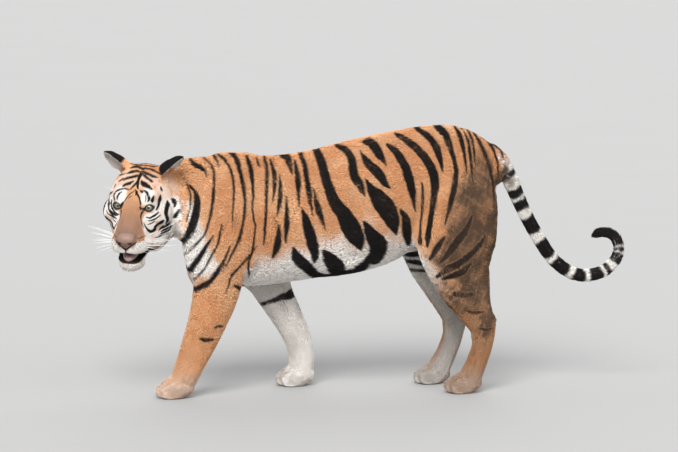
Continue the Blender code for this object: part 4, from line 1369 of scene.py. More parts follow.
@dataclass
class TigerSkin:
    """The one skin over body, head and ears, with what the coat needs to know at each of its points."""

    voxel: float = 0.0036
    head_voxel: float = 0.0024
    most_triangles: int = 188_000
    nape_steps: int = 260
    lip_steps: int = 10
    depth_share: float = 0.30
    least_depth: float = 0.0006
    most_depth: float = 0.010
    ear_depth: float = 0.0016
    toe_height: float = 0.0050
    flesh: bpy.types.Object = field(init=False)
    net: Net = field(init=False)
    node: Array = field(init=False)
    length: Array = field(init=False)
    flow: Array = field(init=False)
    on_head: Array = field(init=False)
    bare: Array = field(init=False)

    def form(self) -> None:
        """Fuses the parts, smooths them, lays the skin a coat's depth below, and shapes the face."""
        start = time.time()
        flesh = self.flesh = self._fused()
        log.info("skin fused: %d points, %.1f s", len(flesh.data.vertices), time.time() - start)
        self._smooth_body(Net(flesh.data))
        self._finer(flesh, details_only=False)
        self._finer(flesh, details_only=True)
        net = self.net = Net(flesh.data)
        self._smooth_head(net)
        log.info("skin refined: %d points, %.1f s", len(net.points), time.time() - start)
        self._read_nodes()
        self._lay_coat()
        sunk = net.smooth(net.points - net.normals * self.depth[:, None], 2, 0.3)
        sunk[:, 2] = np.maximum(sunk[:, 2], 0.0004)
        net.move(sunk)
        self._shape_feet()
        self._shape_face()
        log.info("skin shaped, %.1f s", time.time() - start)

    def _smooth_body(self, net: Net) -> None:
        """Smooths the borders between the parts, and most of all the nape, but not the ears."""
        broad = 0.5 * ease(net.points[:, 2], 0.05, 0.16) * (1 - head_share(net.points))
        net.move(net.smooth(net.points, 12, np.maximum(broad, 0.10)))
        ahead, aside, up = HEAD.into(net.points).T
        ears = ease(up, 0.050, 0.070) * ease(np.abs(aside), 0.035, 0.055) * ease(ahead, -0.125, -0.095)
        far = head_distance(net.points)
        nape = ease(far, 0.88, 1.05) * ease(far, 2.0, 1.5) * ease(ahead, 0.04, -0.02) * (1 - ears)
        net.move(net.smooth(net.points, self.nape_steps, 0.8 * nape))

    def _smooth_head(self, net: Net) -> None:
        """Smooths the head a little, and the lips more."""
        share = head_share(net.points)
        net.move(net.smooth(net.points, 4, 0.4 * share + 0.05))
        ahead, _, up = HEAD.into(net.points).T
        lip = ease(np.abs(up - GAP.corner[1]) - GAP.half(ahead), 0.012, 0.004) * (ahead > 0.075) * share
        net.move(net.smooth(net.points, self.lip_steps, 0.6 * lip))

    def _fused(self) -> bpy.types.Object:
        """Parts of the body with the fine head and ears, as one closed mesh."""
        things = []
        for name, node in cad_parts.items():
            if name in (*NOT_FLESH, *FACE_NODES):
                continue
            bm = bmesh.new()
            bm.from_mesh(node.data)
            bmesh.ops.remove_doubles(bm, verts=bm.verts, dist=1e-6)
            bm.normal_update()
            for corner in bm.verts:
                corner.co += corner.normal * 0.0005
            things.append(plain_object("part", bm))
        things += [self._fine_head(), EAR.build(Side.LEFT), EAR.build(Side.RIGHT)]
        return fused(joined("skin_form", things), self.voxel)

    def _fine_head(self) -> bpy.types.Object:
        """The head's rounded form with the mouth opened."""
        bm = bmesh.new()
        self._skull(bm)
        masses = [((f, -s, u), radii, tilt) for (f, s, u), radii, tilt in HEAD_MASSES if s]
        for place, radii, tilt in (*HEAD_MASSES, *masses, TURN_FOLD):
            set_in = Matrix.Translation(place) @ Matrix.Rotation(math.radians(tilt), 4, "Y")
            stretched = set_in @ Matrix.Diagonal((*radii, 1.0))
            bmesh.ops.create_uvsphere(bm, u_segments=48, v_segments=32, radius=1.0, matrix=stretched)
        bm.transform(HEAD.matrix)
        bmesh.ops.recalc_face_normals(bm, faces=bm.faces)
        head = fused(plain_object("head_form", bm), self.head_voxel)
        net = Net(head.data)
        net.move(net.smooth(net.points, 10, 0.5) + net.normals * 0.0004)
        above, below, behind = (GAP.slope, 0.0, -1.0), (GAP.slope, 0.0, 1.0), (1.0, 0.0, 0.0)
        parts = [self._part(head, way) for way in (above, below, behind)]
        bpy.data.objects.remove(head)
        return joined("head_form", parts)

    def _skull(self, bm: bmesh.types.BMesh) -> None:
        """Adds the closed tube through the head's stations."""
        sides = 64
        rings = []
        for ahead, middle, high, wide, taper in along(SKULL, 8):
            ring = []
            for k in range(sides):
                angle = 2 * math.pi * k / sides
                narrow = 1 - taper * max(math.sin(angle), 0.0) ** 2
                aside, up = wide * narrow * math.cos(angle), middle + high * math.sin(angle)
                ring.append(bm.verts.new((ahead, aside, up)))
            rings.append(ring)
        for back, front in zip(rings, rings[1:]):
            for k in range(sides):
                after = (k + 1) % sides
                bm.faces.new((back[k], back[after], front[after], front[k]))
        bm.faces.new(rings[0])
        bm.faces.new(rings[-1])

    def _part(self, head: bpy.types.Object, way: Row) -> bpy.types.Object:
        """The closed part of the head behind a plane through the mouth's corner that faces the given way."""
        bm = bmesh.new()
        bm.from_mesh(head.data)
        corner = HEAD.out((GAP.corner[0], 0.0, GAP.corner[1]))
        bmesh.ops.contextual_create(bm, geom=cut_away(bm, corner, HEAD.turn @ np.array(way), 1e-7))
        return plain_object("head_part", bm)

    def _finer(self, flesh: bpy.types.Object, details_only: bool) -> None:
        """Divides the faces of the face once more, or only those round the eyes and the nose."""
        net = Net(flesh.data)
        local = HEAD.into(net.points)
        if details_only:
            eyes = [np.linalg.norm(local - side.place(EYE_PLACE), axis=1) for side in Side]
            nose = np.linalg.norm(local - (0.196, 0.0, -0.058), axis=1)
            near = (np.minimum(*eyes) < 0.030) & (local[:, 0] > 0.07) | (nose < 0.028)
        else:
            near = (local[:, 0] > 0.042) & (head_share(net.points) > 0.3)
        bm = bmesh.new()
        bm.from_mesh(flesh.data)
        bm.edges.ensure_lookup_table()
        edges = [bm.edges[k] for k in np.flatnonzero(near[net.ends].all(axis=1))]
        bmesh.ops.subdivide_edges(bm, edges=edges, cuts=1, use_grid_fill=True, smooth=0.0)
        bmesh.ops.triangulate(bm, faces=[face for face in bm.faces if len(face.verts) > 4])
        bm.to_mesh(flesh.data)
        bm.free()

    def _read_nodes(self) -> None:
        """Which named piece of the body each point lies on."""
        corners, faces, owners = [], [], []
        self.names = [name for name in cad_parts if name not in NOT_FLESH]
        start = 0
        for number, name in enumerate(self.names):
            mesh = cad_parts[name].data
            corners += [tuple(v.co) for v in mesh.vertices]
            faces += [tuple(start + k for k in p.vertices) for p in mesh.polygons]
            owners += [number] * len(mesh.polygons)
            start += len(mesh.vertices)
        tree = BVHTree.FromPolygons(corners, faces)
        found = [tree.find_nearest(point)[2] for point in self.net.points.tolist()]
        self.node = np.array(owners)[found]

    def on(self, part: str) -> Array:
        """Which points lie on the pieces that have the given part in their names."""
        return np.array([part in name for name in self.names])[self.node]

    def _lay_coat(self) -> None:
        """Length and lie of the coat at each point, both smoothed so that no border shows."""
        net = self.net
        points, normals = net.points, net.normals
        table = [coat_of(name) for name in self.names]
        length = np.array([row[0] for row in table])[self.node]
        flow = np.array([row[1] for row in table], float)[self.node]
        local = HEAD.into(points)
        ear, tail = self.on("_ear"), self.on("tail")
        self.on_head = np.maximum(head_share(points), ear)
        flow[tail] = TAIL.nearest(points[tail])[2]
        x, z = points[:, 0], points[:, 2]
        down = ease(-normals[:, 2], 0.2, 0.8)
        length += 0.008 * down * ease(z, 0.36, 0.42) * (x < 0.35)
        length += 0.007 * ease(-normals[:, 0], 0.3, 0.8) * (x < -0.45) * ease(z, 0.34, 0.42)
        length += 0.006 * ease(normals[:, 0], 0.3, 0.8) * (x > 0.25) * ease(z, 0.40, 0.5)
        toe = ease(z, 0.075, 0.045) * (z < 0.2)
        flow = mix(flow, np.broadcast_to((-1.0, 0.0, -0.35), flow.shape), toe)
        face_length = self._face_length(local)
        length = np.where(ear, 0.009, length + (face_length - length) * self.on_head)
        from_nose = local - np.array(NOSE_TIP)
        ways = normals @ HEAD.turn
        swept = unit(from_nose - ways * np.sum(from_nose * ways, axis=1)[:, None])
        swept[:, 2] -= 0.25 * ease(local[:, 0], 0.10, 0.02)
        flow = mix(flow, swept @ HEAD.turn.T, self.on_head)
        for side in Side:
            flow[ear & side.has(local)] = EAR.axes(side)[2] @ HEAD.turn.T
        self.ear = net.smooth(ear.astype(float), 2)
        self.length = net.smooth(length, 14)
        for _ in range(4):
            flow = flow - normals * np.sum(flow * normals, axis=1)[:, None]
            flow = net.smooth(unit(flow), 30, 0.2 + 0.8 * (1 - self.on_head))
        self.flow = unit(flow - normals * np.sum(flow * normals, axis=1)[:, None])
        sole = ease(z, 0.003, 0.014)
        depth = np.clip(self.depth_share * self.length, self.least_depth, self.most_depth)
        depth = np.where(self.ear > 0.5, self.ear_depth, depth)
        self.depth = 0.0002 + net.smooth(depth, 6) * sole
        self.length *= 0.25 + 0.75 * sole

    def _face_length(self, local: Array) -> Array:
        """Length of the coat on the head."""
        ahead, aside, up = local[:, 0], np.abs(local[:, 1]), local[:, 2]
        places, lengths = (-0.08, 0.0, 0.05, 0.09, 0.13, 0.20), (0.018, 0.013, 0.009, 0.0065, 0.0045, 0.0030)
        length = np.interp(ahead, places, lengths)
        ruff = ease(aside, 0.05, 0.10) * ease(up, 0.045, -0.02) * ease(ahead, 0.085, 0.02)
        length = length + ruff * 0.019
        below = ease(up, -0.10, -0.135) * ease(ahead, 0.18, 0.13)
        return length + below * 0.010

    def _shape_feet(self) -> None:
        """Four toes on the front of each foot."""
        points, normals = self.net.points, self.net.normals
        out = np.zeros(len(points))
        for node in FEET:
            low, high = (np.array(corner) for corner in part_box(node))
            from_middle = points - (low + high) / 2
            share = from_middle[:, 1] / (high[1] - low[1]) * 2
            ahead = points[:, 0] - low[0]
            near = (np.abs(share) < 1.2) & (ahead > -0.02)
            wave = np.cos(4 * math.pi * (share - 0.25)) - 0.5
            out += wave * near * ease(ahead, 0.090, 0.040) * ease(points[:, 2], 0.080, 0.050)
        self.net.move(points + normals * (self.toe_height * out * ease(points[:, 2], 0.002, 0.012))[:, None])

    def _shape_face(self) -> None:
        """Hollows, whisker pads, lids, lips and nostrils, and where the skin is bare, which takes in painted
        shade under the lower lip.
        """
        net = self.net
        local = HEAD.into(net.points)
        ways = net.normals @ HEAD.turn
        chosen = np.flatnonzero((local[:, 0] > -0.02) & (self.on_head > 0.4))
        face, way = local[chosen], ways[chosen]
        for place, reach, out in FACE_DABS:
            for twin in {1, -1} if place[1] else {1}:
                far = np.linalg.norm(face - np.array(place) * (1, twin, 1), axis=1)
                face = face + way * (out / HEAD.scale * np.exp(-((far / reach) ** 2)))[:, None]
        local[chosen] = face
        for side in Side:
            local = LIDS.shape(local, side)
        net.move(HEAD.out(local))
        half = GAP.half(local[:, 0])
        from_middle = local[:, 2] - GAP.corner[1]
        # Under the lower lip the black band reaches further than the lip itself: the black lip, and painted
        # shade below it.
        below = ease(-from_middle - half, 0.0110, 0.0060)
        above = ease(from_middle - half, 0.0030, 0.0012)
        lips = np.where(from_middle < 0, below, above) * (local[:, 0] > 0.072) * (self.on_head > 0.5)
        lips *= ease(np.abs(from_middle) - half, 0.02, 0.01)
        bare = lips
        for side in Side:
            far, _, outside, _ = LIDS.measure(local, side)
            rim = ease(outside, 0.0052, 0.0036) * (far < EYE_RADIUS + 0.012)
            bare = np.maximum(bare, rim)
        nose = NOSE.mask(local)
        self.bare = np.clip(np.maximum(bare, nose), 0.0, 1.0)
        self.above_nose = net.points.copy()
        self.normals = net.normals
        net.move(net.points - self.normals * (0.004 * ease(nose, 0.6, 1.0))[:, None])

    def piece(self, markings: Markings, finish: bpy.types.Material) -> bpy.types.Object:
        """Makes the skin one piece with the markings on it, thinned between their borders where it is smooth.

        Args:
            markings: The markings.
            finish: The skin's material.

        Returns:
            The piece.
        """
        thing = self.flesh
        thing.name = "skin"
        keep = thing.vertex_groups.new(name="thin")
        local = HEAD.into(self.net.points)
        fine = (self.on_head > 0.3) & (local[:, 0] > 0.03) | (self.ear > 0.3)
        fine |= self.net.points[:, 2] < 0.07
        keep.add(np.flatnonzero(~fine).tolist(), 1.0, "REPLACE")
        keep.add(np.flatnonzero(fine).tolist(), 0.35, "REPLACE")
        triangles = sum(len(p.vertices) - 2 for p in thing.data.polygons)
        thin = thing.modifiers.new("thin", "DECIMATE")
        thin.ratio = min(1.0, self.most_triangles / triangles)
        thin.vertex_group = "thin"
        stripe = markings.stripe(self.net.points, self.normals, self.on_head)
        raised = self.normals * (0.003 * stripe)[:, None]
        self.net.move(self.net.points + raised)
        put(thing.data, "bare", self.bare)
        put(thing.data, "on_head", self.on_head)
        put(thing.data, "raised", raised)
        applied(thing)
        thing.vertex_groups.clear()
        net = Net(thing.data)
        net.move(net.points - take(thing.data, "raised"))
        markings.write(thing.data, net.points, net.normals, take(thing.data, "on_head"))
        shade_smooth(thing.data)
        stood_for = [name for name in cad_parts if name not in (*NOT_FLESH, "nose")]
        return dress(thing, finish, *stood_for)


@dataclass(frozen=True)
class NoseForm:
    """The bare leather of the nose, lifted off the skin, with its two nostrils."""

    heights: Row = (-0.077, -0.072, -0.065, -0.053, -0.043, -0.036, -0.030, -0.0265, -0.0250)
    half_widths: Row = (0.0, 0.006, 0.013, 0.023, 0.029, 0.028, 0.022, 0.012, 0.0)
    lift: float = 0.0012
    edge_depth: float = 0.0020
    wall: float = 0.0020
    nostril: Row = (0.203, 0.0150, -0.0540)

    def mask(self, local: Array) -> Array:
        """How much each place of the head's axes is under the leather."""
        half = np.interp(local[:, 2], self.heights, self.half_widths)
        return ease(np.abs(local[:, 1]) - half, 0.0020, -0.0020) * ease(local[:, 0], 0.166, 0.174)

    def pit(self, local: Array) -> Array:
        """How deep in a nostril each place is, from 0 to 1: a round hole with a slit to the side."""
        aside = np.abs(local[:, 1])
        hole = np.hypot((aside - self.nostril[1]) / 0.0062, (local[:, 2] - self.nostril[2]) / 0.0050)
        slit_middle = self.nostril[2] + 0.35 * (aside - self.nostril[1])
        slit = np.hypot((aside - 0.0225) / 0.0075, (local[:, 2] - slit_middle) / 0.0024)
        return np.maximum(ease(hole, 1.25, 0.45), 0.8 * ease(slit, 1.3, 0.4))

    def build(self, skin: TigerSkin, finish: bpy.types.Material) -> bpy.types.Object:
        """Builds the leather as a thin closed piece over the skin.

        Args:
            skin: The shaped skin.
            finish: The leather's material.

        Returns:
            The piece.
        """
        local = HEAD.into(skin.above_nose)
        inside = self.mask(local) > 0.02
        bm = bmesh.new()
        made: dict[int, bmesh.types.BMVert] = {}
        for polygon in skin.flesh.data.polygons:
            corners = list(polygon.vertices)
            if not all(inside[k] for k in corners):
                continue
            for k in corners:
                if k not in made:
                    made[k] = bm.verts.new(skin.above_nose[k])
            bm.faces.new([made[k] for k in corners])
        bmesh.ops.subdivide_edges(bm, edges=bm.edges[:], cuts=1, use_grid_fill=True, smooth=0.5)
        thing = plain_object("nose_leather", bm)
        net = Net(thing.data)
        local = HEAD.into(net.points)
        mask, pit = self.mask(local), self.pit(local)
        groove = np.exp(-((local[:, 1] / 0.0016) ** 2)) * ease(local[:, 2], -0.052, -0.062)
        rim = np.exp(-(((pit - 0.12) / 0.12) ** 2)) * 0.0006
        out = mask * self.lift - self.edge_depth * (1 - mask) + rim - 0.0010 * groove
        net.move(net.points + net.normals * out[:, None] - HEAD.turn[:, 0] * (0.0060 * pit)[:, None])
        # Painted shade: the nostrils and the groove are marked to be darkened.
        put(thing.data, "deep", np.clip(np.maximum(pit * 1.3, 0.5 * groove), 0.0, 1.0))
        walled(thing, self.wall)
        shade_smooth(thing.data)
        return dress(thing, finish, "nose")


NOSE = NoseForm()


# ---- coat


# Coat pieces: the named pieces of the body that each covers
COAT_PIECES: dict[str, tuple[str, ...]] = {
    "head": ("head", "lower_jaw", "nose"),
    "ears": ("left_ear", "right_ear"),
    "neck": ("neck",),
    "chest": ("chest",),
    "shoulders": ("left_shoulder", "right_shoulder"),
    "barrel": ("barrel",),
    "hips": ("hips",),
    "thighs": ("left_thigh", "right_thigh"),
    "left_foreleg": ("left_forearm", "left_forepaw"),
    "right_foreleg": ("right_forearm", "right_forepaw"),
    "left_hind_leg": ("left_shank", "left_hind_foot"),
    "right_hind_leg": ("right_shank", "right_hind_foot"),
    "tail": ("tail_1", "tail_2", "tail_3", "tail_4"),
}


@dataclass
class Tufts:
    """Where tufts grow and how they lie, with a row for each.

    A tuft has its root, the skin's outward direction there, the way it lies and the way across it, its
    length, how far its tip stands off as a share of that, how much of the head its root is, and the number of
    the named piece under it.
    """

    roots: Array
    normals: Array
    flow: Array
    side: Array
    length: Array
    lift: Array
    on_head: Array
    node: Array

    def some(self, chosen: Array) -> Tufts:
        """The chosen ones."""
        return Tufts(*(values[chosen] for values in vars(self).values()))


@dataclass
class Coat:
    """The coat: thin closed tufts that lie along the body, rooted all over the skin."""

    skin: TigerSkin
    markings: Markings
    most_tufts: int = 238_000
    most_in_piece: int = 32_500
    patch: float = 0.0015
    body_density: float = 62_000
    head_density: float = 150_000
    face_density: float = 330_000
    foot_density: float = 105_000
    tail_density: float = 85_000

    def density(self) -> Array:
        """Tufts wanted for each square metre at each point of the skin."""
        skin = self.skin
        points = skin.net.points
        local = HEAD.into(points)
        wanted = np.full(len(points), float(self.body_density))
        wanted += (self.foot_density - self.body_density) * ease(points[:, 2], 0.32, 0.14)
        head = self.head_density + (self.face_density - self.head_density) * ease(local[:, 0], 0.0, 0.06)
        wanted += (head - wanted) * skin.on_head
        wanted = np.where(skin.on("tail"), self.tail_density, wanted)
        closed = GAP.half(local[:, 0]) - np.abs(local[:, 2] - GAP.corner[1])
        in_mouth = (closed > -0.002) & (skin.on_head > 0.5) & (local[:, 0] > 0.08)
        lids = np.min([LIDS.measure(local, side)[2] for side in Side], axis=0)
        keep = (skin.bare < 0.5) & ~in_mouth & (points[:, 2] > 0.0035) & (lids > 0.0012)
        return wanted * keep

    def areas(self) -> Array:
        """Square metres of skin round each point."""
        mesh = self.skin.flesh.data
        area = get_rows(mesh.polygons, "area")
        sides = get_rows(mesh.polygons, "loop_total", kind=np.int32)
        corners = get_rows(mesh.loops, "vertex_index", kind=np.int32)
        return np.bincount(corners, np.repeat(area / sides, sides), len(mesh.vertices))

    def plan(self, rng: np.random.Generator) -> Tufts:
        """Where all tufts grow, and how each lies."""
        skin = self.skin
        area = self.areas()
        wanted = self.density() * area
        wanted *= min(1.0, self.most_tufts / wanted.sum())
        counts = np.floor(wanted + rng.random(len(wanted))).astype(int)
        which = np.repeat(np.arange(len(wanted)), counts)
        log.info("coat: %d tufts", len(which))
        normals = skin.normals[which]
        flow = skin.flow[which]
        side = np.cross(normals, flow)
        spread = np.sqrt(area[which])[:, None] * 0.5
        ahead, aside = (rng.uniform(-1, 1, (len(which), 1)) for _ in range(2))
        roots = skin.net.points[which] + spread * (flow * ahead + side * aside)
        swirl, bristle = Waves(11, 0.05), Waves(12, 0.014)
        turn = 0.16 * swirl(roots) + 0.10 * bristle(roots) + rng.normal(0, 0.12, len(which))
        flow = flow * np.cos(turn)[:, None] + side * np.sin(turn)[:, None]
        side = np.cross(normals, flow)
        length = skin.length[which] * rng.uniform(0.72, 1.18, len(which)) * (1 + 0.10 * swirl(roots + 2.0))
        lift = np.clip(skin.depth[which] / np.maximum(length, 1e-4), 0.02, 0.5)
        lift = lift * rng.uniform(0.5, 1.0, len(which)) + 0.04
        return Tufts(roots, normals, flow, side, length, lift, skin.on_head[which], skin.node[which])

    def build(self, finish: bpy.types.Material) -> list[bpy.types.Object]:
        """Builds all pieces of the coat.

        Args:
            finish: The tufts' material.

        Returns:
            The pieces.
        """
        rng = np.random.default_rng(SEED + 7)
        tufts = self.plan(rng)
        made = []
        for name, nodes in COAT_PIECES.items():
            numbers = [self.skin.names.index(node) for node in nodes]
            mine = tufts.some(np.isin(tufts.node, numbers))
            along_piece, round_piece = self._unwrap(name, mine.roots, mine.normals)
            parts = max(1, math.ceil(len(mine.roots) / self.most_in_piece))
            order = np.argsort(along_piece, kind="stable")
            for number, chosen in enumerate(np.array_split(order, parts), start=1):
                label = f"coat_{name}" if parts == 1 else f"coat_{name}_{number}"
                flat = self._fill(along_piece[chosen], round_piece[chosen])
                shade = rng.uniform(0.85, 1.0, len(chosen))
                thing = self._piece(label, mine.some(chosen), shade, flat)
                made.append(dress(thing, finish))
                log.info("%s: %d tufts", label, len(chosen))
        return made

    def _unwrap(self, name: str, points: Array, normals: Array) -> tuple[Array, Array]:
        """Two lengths that lay the piece's skin out flat: along it and round it.

        Args:
            name: The coat piece.
            points: Places on the skin.
            normals: The outward direction there.

        Returns:
            The two lengths for each point, in metres or radians.
        """
        if name == "tail":
            place, _, heading, foot = TAIL.nearest(points)
            across = unit(np.cross(heading, (0.0, 1.0, 0.0)))
            return place, np.arctan2(np.sum((points - foot) * across, axis=1), points[:, 1] - foot[:, 1])
        if name == "head":
            local = HEAD.into(points) - (0.02, 0.0, -0.03)
            open_angle = np.arctan2(np.hypot(local[:, 1], local[:, 2]), local[:, 0])
            turn = np.arctan2(local[:, 2], local[:, 1])
            return open_angle * np.cos(turn), open_angle * np.sin(turn)
        if name == "ears":
            return self._unwrap_ears(points, normals @ HEAD.turn)
        main = 2 if "leg" in name or name in ("thighs", "shoulders") else 0
        paired = name in ("thighs", "shoulders")
        others = [1, 0] if main == 2 else [1, 2]
        place = points[:, main]
        turn = np.zeros(len(points))
        left = points[:, 1] < SPINE_Y
        for mine in (left, ~left) if paired else (np.ones(len(points), bool),):
            if mine.any():
                turn[mine] = self._round(place[mine], points[mine][:, others])
        return place, turn + 7.0 * left if paired else turn

    def _round(self, place: Array, across: Array) -> Array:
        """The angle round a limb whose middle line is worked out in short lengths along it.

        Args:
            place: The length along the limb at each point.
            across: The two measures across it.

        Returns:
            The angle, in radians.
        """
        low, high = place.min(), place.max()
        bins = 16
        number = np.clip(((place - low) / (high - low + 1e-9) * bins).astype(int), 0, bins - 1)
        count = np.maximum(np.bincount(number, minlength=bins), 1)
        middles = low + (np.arange(bins) + 0.5) * (high - low) / bins
        filled = count > 20
        centre = [np.bincount(number, column, bins) / count for column in across.T]
        first, second = (np.interp(place, middles[filled], column[filled]) for column in centre)
        return np.arctan2(across[:, 0] - first, across[:, 1] - second)

    def _unwrap_ears(self, points: Array, ways: Array) -> tuple[Array, Array]:
        """Height up the ear and the angle round it, with the ears' four surfaces beside each other."""
        local = HEAD.into(points)
        height, turn = np.zeros(len(points)), np.zeros(len(points))
        for number, side in enumerate(Side):
            mine = side.has(local)
            across, opening, _, base = EAR.axes(side)
            up, inside, _ = EAR.inside(local[mine], ways[mine], side)
            from_base = local[mine] - base
            height[mine] = up
            angle = np.arctan2(from_base @ across, -(from_base @ opening) + 0.01)
            turn[mine] = angle + 7.0 * number + 3.5 * (inside > 0.5)
        return height, turn

    def _fill(self, first: Array, second: Array) -> Array:
        """The two lengths moved and scaled to fill the map, with a border."""
        flat = np.stack([first, second], axis=1)
        low, high = flat.min(axis=0), flat.max(axis=0)
        return 0.02 + 0.96 * (flat - low) / np.maximum(high - low, 1e-6)

    def _piece(self, name: str, tufts: Tufts, shade: Array, flat: Array) -> bpy.types.Object:
        """Builds tufts of five points and six faces each.

        Args:
            name: The piece's name.
            tufts: The tufts.
            shade: The brightness of each.
            flat: Its place on the map.

        Returns:
            The piece.
        """
        roots, normals, length = tufts.roots, tufts.normals, tufts.length
        count = len(roots)
        wide = np.clip(length * 0.19, 0.0008, 0.0032) * 0.5
        lifted = (tufts.lift * length)[:, None]
        middle = roots + tufts.flow * (0.42 * length)[:, None] + normals * (0.70 * lifted)
        aside = tufts.side * wide[:, None]
        crest = middle + normals * (wide * 0.8)[:, None]
        tip = roots + tufts.flow * length[:, None] + normals * lifted
        corners = np.stack([roots - normals * 0.0005, middle + aside, middle - aside, crest, tip], axis=1)
        corners[:, :, 2] = np.maximum(corners[:, :, 2], 0.0006)
        faces = np.array([(0, 2, 3), (0, 3, 1), (2, 4, 3), (3, 4, 1), (0, 1, 2), (1, 4, 2)])
        loops = (np.arange(count)[:, None, None] * 5 + faces).reshape(-1)
        mesh = bpy.data.meshes.new(name)
        mesh.vertices.add(count * 5)
        set_rows(mesh.vertices, "co", corners)
        mesh.loops.add(len(loops))
        mesh.loops.foreach_set("vertex_index", loops.astype(np.int32))
        mesh.polygons.add(count * 6)
        mesh.polygons.foreach_set("loop_start", np.arange(0, len(loops), 3, dtype=np.int32))
        mesh.update(calc_edges=True)
        spread = np.array([(-1.0, 0.0), (0.0, -1.0), (0.0, 1.0), (0.0, 0.0), (1.0, 0.0)]) * self.patch
        on_map = (flat[:, None, :] + spread).reshape(-1, 2)[loops]
        set_rows(mesh.uv_layers.new(name="OFBake").data, "uv", on_map)
        read_at = roots[:, None] + tufts.flow[:, None] * (length[:, None] * (0.02, 0.42, 0.88))[..., None]
        read = (np.arange(count)[:, None] * 3 + (0, 1, 1, 1, 2)).ravel()
        triple = np.repeat(normals, 3, axis=0), np.repeat(tufts.on_head, 3)
        self.markings.write(mesh, read_at.reshape(-1, 3), *triple, read)
        # Painted shade: each tuft is darker at the root and along its sides than on its crest and tip; the
        # factor drawn for each tuft is its own tone.
        put(mesh, "shade", (shade[:, None] * np.array([0.62, 0.88, 0.88, 0.97, 1.0])).ravel())
        put(mesh, "bare", np.zeros(count * 5))
        shade_smooth(mesh)
        return add_object(name, mesh)




# ---- eyes and mouth


@dataclass(frozen=True)
class Eyeball:
    """An eye with a bulging cornea, which looks ahead and a little up."""

    side: Side
    looks: Row = (-0.24, -0.96, 0.04)
    iris: float = 45.0
    bulge: float = 0.0010

    def build(self, finish: bpy.types.Material) -> bpy.types.Object:
        """Builds the eye.

        Args:
            finish: Its material.

        Returns:
            The piece.
        """
        name = f"{self.side.name.lower()}_eye"
        centre = HEAD.out(self.side.place(EYE_PLACE))
        look = Vector(self.looks).normalized()
        turned = look.to_track_quat("Z", "Y").to_matrix().to_4x4()
        bm = bmesh.new()
        bmesh.ops.create_uvsphere(bm, u_segments=64, v_segments=40, radius=1.0)
        bm.transform(turned)
        thing = plain_object(f"{name}ball", bm)
        net = Net(thing.data)
        ways = unit(net.points)
        open_angle = np.degrees(np.arccos(np.clip(ways @ np.array(look), -1, 1)))
        raised = self.bulge * np.clip(1 - (open_angle / self.iris) ** 2, 0.0, 1.0)
        net.move(centre + ways * (EYE_RADIUS - 0.0004 + raised)[:, None])
        put(thing.data, "out", open_angle / self.iris)
        axes = np.array(turned)[:3, :2]
        turn = np.arctan2(ways @ axes[:, 1], ways @ axes[:, 0])
        spoke = np.stack([np.cos(turn), np.sin(turn)], axis=1) * (1 + 0.05 * open_angle / self.iris)[:, None]
        corners = get_rows(thing.data.loops, "vertex_index", kind=np.int32)
        set_rows(thing.data.uv_layers.new(name="spokes").data, "uv", spoke[corners])
        shade_smooth(thing.data)
        return dress(thing, finish, name)


@dataclass(frozen=True)
class Flesh:
    """A rounded mass of flesh in the mouth, painted darker towards the throat as shade, between two places
    ahead.
    """

    name: str
    place: Row
    radii: Row
    tilt: float
    darkens: tuple[float, float]

    def relief(self, x: float, y: float, z: float) -> Row:
        """A place on the ball of radius one, with the surface's relief."""
        return x, y, z

    def build(self, finish: bpy.types.Material, *stands_for: str) -> bpy.types.Object:
        """Builds the mass.

        Args:
            finish: Its material.
            stands_for: The CAD nodes that it replaces.

        Returns:
            The piece.
        """
        bm = bmesh.new()
        bmesh.ops.create_uvsphere(bm, u_segments=48, v_segments=32, radius=1.0)
        for corner in bm.verts:
            corner.co = self.relief(*corner.co)
        stretched = Matrix.Rotation(math.radians(self.tilt), 4, "Y") @ Matrix.Diagonal((*self.radii, 1.0))
        bm.transform(HEAD.matrix @ Matrix.Translation(self.place) @ stretched)
        thing = plain_object(self.name, bm)
        ahead = HEAD.into(Net(thing.data).points)[:, 0]
        # Painted shade: the flesh darkens towards the throat.
        put(thing.data, "deep", ease(ahead, *self.darkens))
        shade_smooth(thing.data)
        return dress(thing, finish, *stands_for)


@dataclass(frozen=True)
class Tongue(Flesh):
    """The tongue on the floor of the mouth, with a groove along it."""

    name: str = "tongue_flesh"
    place: Row = (0.140, 0.0, -0.1150)
    radii: Row = (0.046, 0.026, 0.0125)
    tilt: float = 9.0
    darkens: tuple[float, float] = (0.150, 0.095)

    def relief(self, x: float, y: float, z: float) -> Row:
        """The ball with the groove on top, lower at the sides and at the tip."""
        groove = 0.35 * math.exp(-((y / 0.16) ** 2)) * (1 - x * x)
        return x, y, z * (1 - 0.15 * y * y) - (groove if z > 0 else 0.0) - 0.25 * max(x, 0.0) ** 3


@dataclass(frozen=True)
class Throat(Flesh):
    """The flesh at the back of the mouth, ribbed above, painted dark as the shade deep in the mouth."""

    name: str = "throat_flesh"
    place: Row = (0.098, 0.0, -0.112)
    radii: Row = (0.052, 0.046, 0.026)
    tilt: float = 0.0
    darkens: tuple[float, float] = (0.20, 0.11)

    def relief(self, x: float, y: float, z: float) -> Row:
        """The ball with ribs across its upper half."""
        ribbed = 1 + 0.03 * math.sin(x * 22.0) * max(z, 0.0)
        return x * ribbed, y * ribbed, z * ribbed


# ---- spines


